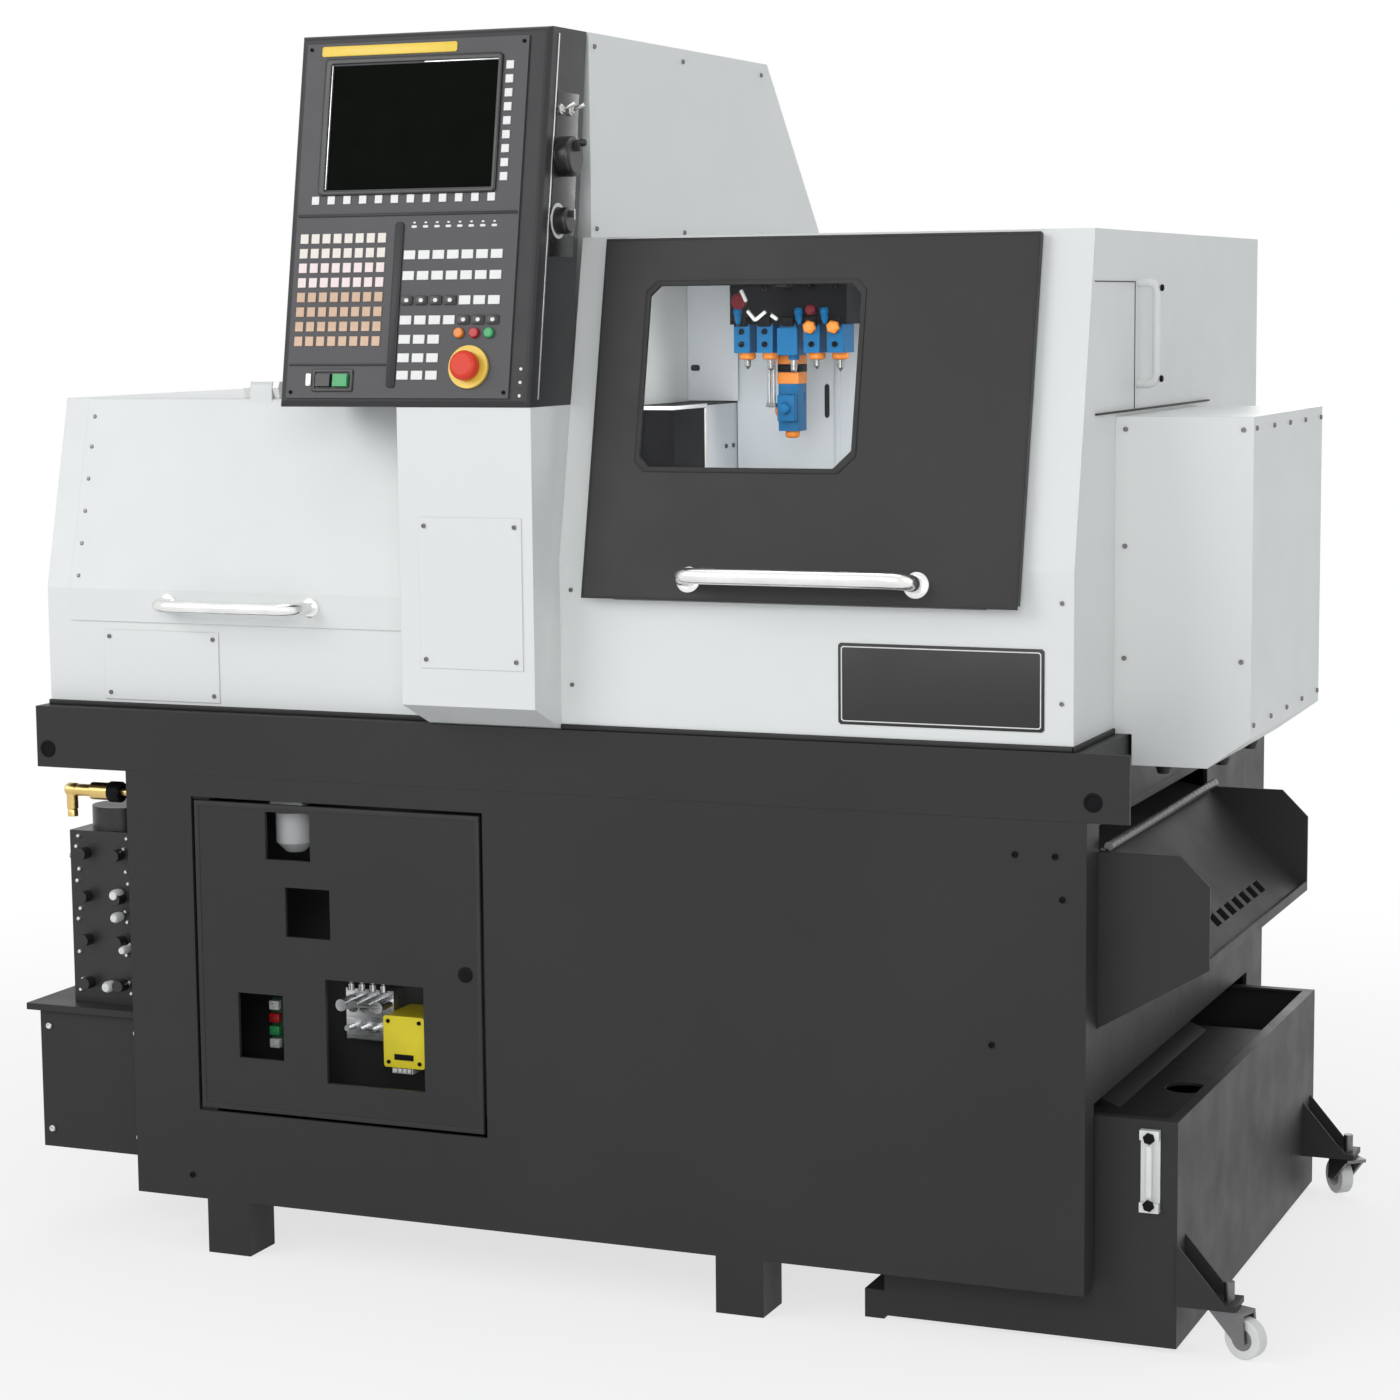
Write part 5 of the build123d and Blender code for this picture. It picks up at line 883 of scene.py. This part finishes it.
for start, end in (
    ((0.2960, FACE - 0.004, FOOT + 0.0480), (0.3050, FACE - 0.008, FOOT + 0.0330)),
    ((0.3080, FACE - 0.010, FOOT + 0.0190), (0.3200, FACE - 0.012, FOOT + 0.0060)),
    ((0.3200, FACE - 0.012, FOOT + 0.0060), (0.3350, FACE - 0.010, FOOT + 0.0180)),
    ((0.3430, FACE - 0.008, FOOT + 0.0130), (0.3520, FACE - 0.008, FOOT + 0.0070)),
):
    tube(pipes, start, end, 0.0026)
settle("coolant_pipes", pipes, WHITE_CAP, "tool_post", soften=0.0)

ARM_X = HOLDER_XS[0] + (HOLDER_XS[4] - HOLDER_XS[0]) * 0.375
ARM_FRONT, ARM_BACK = FACE + 0.046, gang_high[1]


def arm_band(mesh, low, high, grow):
    block(mesh, (ARM_X - 0.015 - grow, ARM_FRONT - grow, FOOT + low),
          (ARM_X + 0.015 + grow, ARM_BACK + grow, FOOT + high))


TIP = [(0.0, 0.0), (0.0090, 0.0), (0.0105, 0.0030), (0.0105, 0.0080), (0.0070, 0.0110), (0.0, 0.0110)]
arm_bands = bmesh.new()
arm_band(arm_bands, -0.0570, -0.0440, 0.0015)
arm_band(arm_bands, -0.0850, -0.0680, 0.0015)
turned(arm_bands, TIP, (ARM_X, (ARM_FRONT + ARM_BACK) / 2, gang_low[2] + 0.0005), normal=DOWN, sides=14)
turned(arm_bands, [(0.0, 0.0), (0.0100, 0.0), (0.0100, 0.0060), (0.0070, 0.0090), (0.0, 0.0090)],
       (ARM_X - 0.0150, ARM_FRONT + 0.015, FOOT - 0.1230), normal=(-1.0, 0.0, 0.0), sides=16)
settle("arm_bands", arm_bands, ORANGE_CAP, "tool_post", soften=0.0018)
arm_ring = bmesh.new()
arm_band(arm_ring, -0.0680, -0.0570, 0.0010)
settle("arm_ring", arm_ring, BLACK_OXIDE, "tool_post", soften=0.0008)
arm_head = bmesh.new()
block(arm_head, (ARM_X - 0.0120, ARM_FRONT - 0.0140, FOOT - 0.1380),
      (ARM_X + 0.0140, ARM_FRONT, FOOT - 0.1000))
turned(arm_head, [(0.0, 0.0), (0.0085, 0.0), (0.0085, 0.0080), (0.0055, 0.0110), (0.0, 0.0110)],
       (ARM_X + 0.001, ARM_FRONT - 0.0140, FOOT - 0.1190), normal=FRONT, sides=18)
settle("arm_head", arm_head, HOLDER_BLUE, "tool_post", soften=0.0015)
guide_rods = bmesh.new()
for x in (0.3215, 0.3285):
    tube(guide_rods, (x, ARM_FRONT - 0.008, FOOT - 0.0395), (x, ARM_FRONT - 0.008, FOOT - 0.1180), 0.0026)
block(guide_rods, (0.3180, ARM_FRONT - 0.0125, FOOT - 0.1180), (0.3325, ARM_FRONT - 0.0030, FOOT - 0.1120))
settle("arm_guide_rods", guide_rods, VALVE_SILVER, "tool_post", soften=0.0)
BIG_SCREW = sized(SCREW, 0.0050)
post_plugs = bmesh.new()
for x in (0.330, 0.365, 0.400, 0.435):
    turned(post_plugs, BIG_SCREW, (x, FACE, FOOT + 0.0510), normal=FRONT, sides=16)
settle("post_plugs", post_plugs, BLACK_OXIDE, "tool_post", soften=0.0)

# %% [markdown]
# Pale sheets close the chamber behind the tools. One is fixed beside the slide, and a second hangs on
# the slide as a way cover, so it rides on that body and travels with the tools. The black column of the
# guide bush has a pale cover on its side and a bright edge. A sealed lamp lights the work on the real
# machine; here a thin area light sits below its tube, and two soft ones stand in for the light that
# comes in through the pane. These two are kept out of reflections, which would show them as tiles.

# %% Chamber details
slide_low, slide_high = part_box("tool_slide")
column_low, column_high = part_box("guide_bush_column")
COLUMN_SIDE = column_high[0]
WALL, WAY, LINER_FACE = -0.060, -0.0508, -0.062

left_sheet = bmesh.new()
strip(left_sheet, oblong(0.1465, slide_low[0] - 0.0015, column_high[2] + 0.001, 1.4550), -0.0020, 0.0)
settle("liner_left_sheet", left_sheet, LINER_PAINT, "machine", front_at(WALL), soften=0.0004)
way_cover = bmesh.new()
strip(way_cover, oblong(COLUMN_SIDE + 0.0025, 0.4660, 1.1100, slide_high[2] - 0.0295), 0.0, 0.0020)
strip(way_cover, oblong(0.3760, 0.3840, 1.1100, slide_high[2] - 0.0295), 0.0020, 0.0034)
settle("slide_way_cover", way_cover, LINER_PAINT, "tool_slide", front_at(WAY), soften=0.0004)
# Painted shade: these black plates on the way cover and on the fixed sheet stand for the shaded inside of two
# slots, which are not cut.
way_slot_shade = bmesh.new()
strip(way_slot_shade, oblong(0.3600, 0.3675, 1.2080, 1.2580, 0.003), 0.0, 0.0028)
settle("way_cover_slot_shade", way_slot_shade, BLACK_PLATE, "tool_slide", front_at(WAY), soften=0.0004)
sheet_slot_shade = bmesh.new()
strip(sheet_slot_shade, oblong(0.1520, 0.1660, 1.2770, 1.2860, 0.002), 0.0, 0.0014)
settle("liner_slot_shade", sheet_slot_shade, BLACK_PLATE, "machine", front_at(WALL), soften=0.0004)
liner_spots = [(0.480, 1.168), (0.480, 0.900), (0.600, 1.168), (0.300, 0.900)]
screw_set("liner_screws", liner_spots, 0.0040, front_at(LINER_FACE), finish=BRIGHT_STEEL)

side_cover = bmesh.new()
COVER_START = -0.172
COVER_TOP = column_high[2] - 0.002
strip(side_cover, oblong(COVER_START, column_high[1] - 0.002, 1.095, COVER_TOP, 0.003), 0.0, 0.0015)
column_right = right_at(COLUMN_SIDE)
settle("column_side_cover", side_cover, LINER_PAINT, "machine", column_right, soften=0.0004)
screw_set("column_cover_screws", [(-0.098, 1.168), (-0.070, 1.168)], 0.0034, column_right, lift=0.0015)
TRIM_LOW, TRIM_HIGH = column_high[2] - 0.005, column_high[2] + 0.0005
edge_trim = bmesh.new()
strip(edge_trim, oblong(column_low[1], COVER_START + 0.004, TRIM_LOW, TRIM_HIGH), 0.0, 0.0018)
strip(edge_trim, oblong(COVER_START - 0.004, COVER_START + 0.004, 1.095, TRIM_LOW - 0.001), 0.0, 0.0024)
settle("column_edge_trim", edge_trim, WHITE_CAP, "machine", column_right, soften=0.0004)
front_trim = bmesh.new()
strip(front_trim, oblong(column_low[0], COLUMN_SIDE + 0.0018, TRIM_LOW, TRIM_HIGH), 0.0, 0.0018)
column_front = front_at(column_low[1])
settle("column_front_trim", front_trim, WHITE_CAP, "machine", column_front, soften=0.0004)

LAMP = [(0.0, 0.0), (0.011, 0.0), (0.012, 0.004), (0.012, 0.030), (0.009, 0.032), (0.009, 0.368)]
LAMP += [(0.012, 0.370), (0.012, 0.396), (0.011, 0.400), (0.0, 0.400)]
work_lamp = bmesh.new()
turned(work_lamp, LAMP, (0.430, -0.395, 1.4460), normal=(1.0, 0.0, 0.0), sides=18)
settle("chamber_lamp", work_lamp, NYLON, "machine", soften=0.0)
soft_box("chamber_light", (0.60, -0.385, 1.425), (0.60, -0.10, 1.05), 0.30, 0.03, 0.4)
for chamber_box in (
    soft_box("chamber_fill", (0.30, -0.399, 1.231), (0.30, 0.579, 1.025), 0.30, 0.30, 0.75),
    soft_box("chamber_side", (0.78, -0.280, 1.260), (0.15, -0.150, 1.260), 0.20, 0.26, 0.75),
):
    chamber_box.visible_glossy = False

# %% [markdown]
# The lower front is plain sheet metal with one hinged access door. The door closes on a black rubber
# edge, which also paints the shade in the gap round the door, and its cut-outs show the services
# behind it: the clear bowl of the air regulator, the valve bank with bright fittings, a row of coloured
# terminals and the yellow power supply.

# %% Access door and services
# Partly painted shade: the black edge is a rubber gasket and also stands for the shadow in the gap around the
# door.
door_gasket_and_shade = bmesh.new()
frame_strip(door_gasket_and_shade, oblong(-0.4335, 0.0095, 0.2255, 0.6635), oblong(-0.4405, 0.0165, 0.2185, 0.6705),
            -0.002, 0.0007)
settle("access_door_edge_and_shade", door_gasket_and_shade, RUBBER, "access_door", front_at(BASE_FRONT),
       soften=0.0003)
latch = bmesh.new()
turned(latch, [(0.0, 0.0), (0.0110, 0.0), (0.0110, 0.0016), (0.0085, 0.0024), (0.0, 0.0024)],
       (-0.008, 0.445, 0.0), sides=28)
strip(latch, oblong(-0.0095, -0.0065, 0.4390, 0.4510, 0.001), 0.0020, 0.0032)
settle("access_door_lock", latch, BLACK_OXIDE, "access_door", front_at(BASE_FRONT), soften=0.0)

bank_low, bank_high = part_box("valve_bank")
FITTING = [(0.0, 0.0), (0.0060, 0.0), (0.0060, 0.0100), (0.0042, 0.0110), (0.0042, 0.0240), (0.0054, 0.0250)]
FITTING += [(0.0054, 0.0300), (0.0, 0.0300)]
fittings = bmesh.new()
for k in range(4):
    turned(fittings, FITTING, (bank_low[0] + 0.012 + 0.018 * k, -0.405, bank_high[2] - 0.001), sides=12)
settle("valve_fittings", fittings, BRIGHT_STEEL, "machine", soften=0.0)

supply_low, supply_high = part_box("supply_box")
SMALL_SCREW = sized(SCREW, 0.0030)
supply_front = bmesh.new()
for x in (supply_low[0] + 0.008, supply_high[0] - 0.008):
    for z in (supply_low[2] + 0.008, supply_high[2] - 0.008):
        turned(supply_front, SMALL_SCREW, (x, supply_low[1], z), normal=FRONT, sides=14)
block(supply_front, (supply_low[0] + 0.018, supply_low[1] - 0.0020, supply_low[2] + 0.012),
      (supply_high[0] - 0.018, supply_low[1] + 0.001, supply_low[2] + 0.020))
settle("supply_front_parts", supply_front, BLACK_OXIDE, "machine", soften=0.0)

plug = bmesh.new()
block(plug, (supply_low[0] + 0.010, supply_low[1] + 0.006, supply_low[2] - 0.0100),
      (supply_high[0] - 0.022, supply_low[1] + 0.034, supply_low[2]))
for k in range(4):
    x = supply_low[0] + 0.0150 + 0.0075 * k
    block(plug, (x, supply_low[1] + 0.002, supply_low[2] - 0.0080),
          (x + 0.0045, supply_low[1] + 0.008, supply_low[2] - 0.0020))
settle("supply_plug", plug, WHITE_CAP, "machine", soften=0.0006)

strip_low, strip_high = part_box("terminal_block")
strip_middle = (strip_low[0] + strip_high[0]) / 2
TERMINALS = (
    (WHITE_CAP, "key_white"), (GREEN_CAP, "button_green"), (RED_CAP, "button_red"), (WHITE_CAP, "key_white"),
)
step = (strip_high[2] - strip_low[2]) / len(TERMINALS)
for k, (finish, slot) in enumerate(TERMINALS):
    terminal = bmesh.new()
    low = strip_low[2] + step * k
    block(terminal, (strip_low[0] + 0.001, strip_low[1] - 0.008, low + 0.003),
          (strip_high[0] - 0.001, strip_low[1] + 0.001, low + step - 0.003))
    screw_spot = (strip_middle, strip_low[1] - 0.008, low + step / 2)
    turned(terminal, SMALL_SCREW, screw_spot, normal=FRONT, sides=14)
    settle("terminal_%d" % (k + 1), terminal, finish, "machine", soften=0.0006)

# %% [markdown]
# The left end has the lubricator on its shelf, the air inlet and the entry for the bar. Small clear
# cups and bright unions stand on the pump, a knurled ring and a pale hose tail finish the coupler,
# and a flanged ring guards the hole where the bar goes in, on the axis of the spindle.

# %% Left end
PUMP_FRONT, PUMP_LEFT, SHELF_FRONT = -0.456, -0.697, -0.480
CUP = [(0.0, 0.0), (0.0075, 0.0), (0.0085, 0.004), (0.0085, 0.016), (0.0060, 0.020), (0.0, 0.021)]
cups = bmesh.new()
for x, z, size in ((-0.612, 0.512, 1.0), (-0.612, 0.478, 0.9), (-0.630, 0.372, 1.0), (-0.600, 0.430, 0.8)):
    turned(cups, widened(CUP, size), (x, z, 0.0), sides=18)
settle("pump_cups", cups, CLEAR_GAUGE, "machine", front_at(PUMP_FRONT - 0.001), soften=0.0)
SPECK = [(0.0, 0.0), (0.0034, 0.0), (0.0034, 0.0040), (0.0022, 0.0052), (0.0, 0.0052)]
specks = bmesh.new()
for k, z in enumerate((0.362, 0.378, 0.420, 0.436, 0.470, 0.486, 0.528, 0.546, 0.580, 0.596)):
    for x in (-0.6845 + 0.004 * (k % 2), -0.5960 - 0.003 * (k % 3)):
        turned(specks, SPECK, (x, z, 0.0), sides=6)
settle("pump_fittings", specks, BRIGHT_STEEL, "machine", front_at(PUMP_FRONT), soften=0.0)
PUMP_UNION = [(0.0, 0.0), (0.0080, 0.0), (0.0080, 0.0060), (0.0055, 0.0075), (0.0055, 0.0160), (0.0, 0.0170)]
unions = bmesh.new()
for y in (-0.430, -0.390, -0.350, -0.310):
    turned(unions, PUMP_UNION, (-y, 0.560, 0.0), sides=6)
settle("pump_unions", unions, DARK_ZINC, "machine", left_at(PUMP_LEFT), soften=0.0)
cabinet_spots = [(-0.728, 0.150), (-0.575, 0.150), (-0.728, 0.308), (-0.575, 0.308)]
screw_set("oil_cabinet_bolts", cabinet_spots, 0.0052, front_at(SHELF_FRONT), finish=BRIGHT_STEEL)

coupler_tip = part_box("air_coupler")[0][0]
INLET = (-0.460, 0.666)
ELBOW = [(0.0, 0.0), (0.0085, 0.0), (0.0100, 0.0030), (0.0100, 0.0170), (0.0080, 0.0200), (0.0, 0.0200)]
TAIL = [(0.0, 0.0), (0.0085, 0.0), (0.0085, 0.0280), (0.0070, 0.0300), (0.0078, 0.0320), (0.0078, 0.0400)]
hose_tail = bmesh.new()
turned(hose_tail, ELBOW, (coupler_tip + 0.0010, *INLET), normal=(-1, 0, 0), sides=20)
turned(hose_tail, TAIL + [(0.0, 0.0400)], (coupler_tip - 0.0105, *INLET), normal=DOWN, sides=20)
settle("coupler_elbow", hose_tail, BRASS, "machine", soften=0.0)
SLEEVE = [(0.0105, 0.0), (0.0150, 0.0), (0.0158, 0.0020), (0.0158, 0.0180), (0.0150, 0.0200)]
SLEEVE += [(0.0105, 0.0200)]
knurl = bmesh.new()
turned(knurl, SLEEVE + SLEEVE[:1], (-0.600, *INLET), normal=(-1, 0, 0), sides=14)
settle("coupler_sleeve", knurl, BLACK_OXIDE, "machine", soften=0.0)

RING = [(0.0205, 0.0), (0.0480, 0.0), (0.0480, 0.0045), (0.0440, 0.0065), (0.0270, 0.0065), (0.0240, 0.0085)]
RING += [(0.0205, 0.0085), (0.0205, 0.0)]
SPINDLE = (0.190, 1.040)
bar_entry = bmesh.new()
turned(bar_entry, RING, (*SPINDLE, 0.0), sides=40)
RING_SCREWS = 0.0370
for k in range(4):
    angle = math.radians(45 + 90 * k)
    spot = (SPINDLE[0] + RING_SCREWS * math.cos(angle), SPINDLE[1] + RING_SCREWS * math.sin(angle), 0.0065)
    turned(bar_entry, sized(SCREW, 0.0036), spot, sides=14)
settle("bar_entry_ring", bar_entry, BRIGHT_STEEL, "machine", left_at(COVER_END), soften=0.0)
bar_hole = bmesh.new()
turned(bar_hole, [(0.0, 0.0), (0.0212, 0.0), (0.0212, 0.0008), (0.0, 0.0008)], (*SPINDLE, 0.0), sides=32)
settle("bar_entry_disc", bar_hole, RUBBER, "machine", left_at(COVER_END), soften=0.0)

# %% [markdown]
# At the right end a long hinge with many knuckles joins the chip chute to the machine. One turned
# profile with a groove after every knuckle makes the whole hinge, which keeps it a single light mesh.
# The box above stands on two rubber stops, and a thin drip ledge runs along the wall over it.

# %% Right end
KNUCKLES, KNUCKLE_STEP, HINGE_LENGTH = 28, 0.0205, 0.5900
KNUCKLE, GROOVE = 0.0062, 0.0036
hinge_profile = [(0.0, 0.0)]
for k in range(KNUCKLES):
    start = KNUCKLE_STEP * k
    hinge_profile += [(KNUCKLE, start), (KNUCKLE, start + 0.0180)]
    hinge_profile += [(GROOVE, start + 0.0186), (GROOVE, start + 0.0199)]
hinge_profile += [(KNUCKLE, KNUCKLE_STEP * KNUCKLES), (KNUCKLE, HINGE_LENGTH), (0.0, HINGE_LENGTH)]
hinge = bmesh.new()
turned(hinge, hinge_profile, (0.9000, -0.457, 0.6685), normal=(0, 1, 0), sides=12)
block(hinge, (0.8885, -0.457, 0.6625), (0.9000, 0.133, 0.6650))
settle("chute_hinge", hinge, DARK_ZINC, "machine", soften=0.0)

ledge = bmesh.new()
strip(ledge, [(-0.420, 1.2265), (0.195, 1.2265), (0.195, 1.2290), (-0.420, 1.2290)], 0.0, 0.0045)
settle("hood_drip_ledge", ledge, RUBBER, "machine", right_at(HOOD_END), soften=0.0006)
STOP = [(0.0, 0.0), (0.0095, 0.0), (0.0110, 0.0030), (0.0080, 0.0130), (0.0, 0.0130)]
stops = bmesh.new()
for x, y in ((0.985, -0.185), (0.985, -0.014), (0.930, -0.290)):
    turned(stops, STOP, (x, y, 0.7562), normal=DOWN, sides=18)
settle("side_box_stops", stops, RUBBER, "machine", soften=0.0)
SIDE_BAR_FACE = 0.8995
screw_set("side_bar_screws", [(-0.205, 1.2690), (-0.205, 1.3910)], 0.0046, right_at(SIDE_BAR_FACE),
          finish=BLACK_OXIDE)
seam = bmesh.new()
strip(seam, oblong(-0.424, -0.223, 1.3985, 1.4000), 0.0, 0.0008)
strip(seam, oblong(-0.223, -0.2215, 1.2290, 1.4000), 0.0, 0.0008)
settle("hood_side_seam", seam, RUBBER, "machine", right_at(HOOD_END), soften=0.0)

EYE = [(0.0, 0.0), (0.0125, 0.0), (0.0125, 0.0012), (0.0090, 0.0016), (0.0085, 0.0006), (0.0, 0.0006)]
lifting_eyes = bmesh.new()
for x in (0.896, -0.687):
    turned(lifting_eyes, EYE, (x, 0.735, 0.0), sides=28)
settle("deck_eye_plugs", lifting_eyes, BLACK_OXIDE, "machine", front_at(BASE_FRONT), soften=0.0)

# %% [markdown]
# The coolant tank rolls out on two casters. Its sight gauge has a dark fitting at each end and a pale
# strip behind the tube, and the casters have steel axle caps. Each cap rides on its own wheel, so it
# turns with it, and the rest moves with the tank.

# %% Tank and casters
gauge_low, gauge_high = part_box("sight_gauge")
gauge_x = (gauge_low[0] + gauge_high[0]) / 2
ends = bmesh.new()
for z in (gauge_low[2] + 0.010, gauge_high[2] - 0.010):
    turned(ends, [(0.0, 0.0), (0.0080, 0.0), (0.0080, 0.0030), (0.0060, 0.0045), (0.0, 0.0045)],
           (gauge_x, gauge_low[1], z), normal=FRONT, sides=6)
settle("gauge_fittings", ends, BLACK_OXIDE, "tank", soften=0.0)
gauge_strip = bmesh.new()
gauge_outline = oblong(gauge_x - 0.0040, gauge_x + 0.0040, gauge_low[2] + 0.020, gauge_high[2] - 0.020, 0.002)
strip(gauge_strip, gauge_outline, 0.0, 0.0018)
settle("gauge_tube", gauge_strip, WHITE_CAP, "tank", front_at(gauge_low[1]), soften=0.0006)
lid_spots = [(0.975, y) for y in (-0.430, -0.300, -0.060, 0.060)]
LID_TOP = 0.285
screw_set("tank_lid_screws", lid_spots, 0.0036, top_at(LID_TOP), body="tank")

for body, stem_y, heading in (("wheel_front", -0.445, -20.0), ("wheel_rear", 0.352, 130.0)):
    ahead = Vector((math.cos(math.radians(heading)), math.sin(math.radians(heading)), 0.0))
    axle = Vector((1.063, stem_y, 0.028)) + ahead * 0.026
    across = Vector((-ahead.y, ahead.x, 0.0))
    caps = bmesh.new()
    for way in (1.0, -1.0):
        turned(caps, [(0.0, 0.0), (0.0150, 0.0), (0.0150, 0.0008), (0.0120, 0.0012), (0.0, 0.0012)],
               axle + across * way * 0.0098, normal=across * way, sides=24)
    settle(body + "_caps", caps, DARK_ZINC, body, soften=0.0)

# %% [markdown]
# The back and the left end are working sides: screwed service panels, louvres that let warm air out of
# the electrical tower and the headstock, and a row of cable glands. Pressed louvres could be cut into
# the sheet, but from outside only the lip and the dark gap under it show, so two thin strips do the job:
# a pale lip, and a black strip of painted shade where the gap lies in shadow.

# %% Service panels
def service_plate_piece(name, outlines, place, finish, inset=0.014):
    plates = bmesh.new()
    spots = []
    for left, right, low, high in outlines:
        strip(plates, oblong(left, right, low, high, 0.006), 0.0, 0.0018)
        steps = max(2, int((right - left) / 0.22) + 1)
        for k in range(steps):
            x = left + inset + (right - left - 2 * inset) * k / (steps - 1)
            spots += [(x, low + inset), (x, high - inset)]
    settle(name, plates, finish, "machine", place, soften=0.0006)
    screw_set(name + "_screws", spots, 0.0036, place, lift=0.0018)


base_plates = [(-0.840, -0.190, 0.140, 0.660), (-0.150, 0.500, 0.140, 0.660)]
service_plate_piece("base_back_panels", base_plates, rear_at(BASE_BACK), CABINET_PAINT)
for name, outline, place in (
    ("hood_back_panel", (-0.830, -0.190, 0.850, 1.420), rear_at(BASE_BACK)),
    ("cover_back_panel", (-0.090, 0.640, 0.850, 1.200), rear_at(BASE_BACK)),
    ("tower_left_door", (-0.250, 0.365, 1.275, 1.470), left_at(TOWER_LEFT)),
):
    service_plate_piece(name, [outline], place, COVER_PAINT)


# Painted shade: the black strip under each lip stands for the shadowed gap.
def louvre_field(name, left, right, low, count, place):
    lips = bmesh.new()
    gap_shade = bmesh.new()
    for k in range(count):
        foot = low + 0.020 * k
        strip(lips, oblong(left, right, foot, foot + 0.009, 0.003), 0.0, 0.0032)
        strip(gap_shade, oblong(left + 0.004, right - 0.004, foot - 0.0035, foot + 0.001, 0.001), 0.0, 0.0006)
    settle(name, lips, COVER_PAINT, "machine", place, soften=0.0012)
    settle(name + "_gap_shade", gap_shade, RUBBER, "machine", place, soften=0.0)


louvre_field("tower_back_louvres", -0.080, 0.190, 1.285, 9, rear_at(TOWER_BACK))
louvre_field("cover_left_louvres", -0.420, -0.160, 0.980, 8, left_at(COVER_END))
GLAND = [(0.0, 0.0), (0.0130, 0.0), (0.0130, 0.0030), (0.0100, 0.0036), (0.0095, 0.0056), (0.0, 0.0056)]
glands = bmesh.new()
for k in range(4):
    turned(glands, GLAND, (0.530, 0.300 + 0.060 * k, 0.0), sides=6)
settle("base_back_glands", glands, BLACK_OXIDE, "machine", rear_at(BASE_BACK), soften=0.0)

# %% [markdown]
# The dressed machine should fill the same box as the bare solids, because nothing that is added
# here may reach beyond them by more than trim.
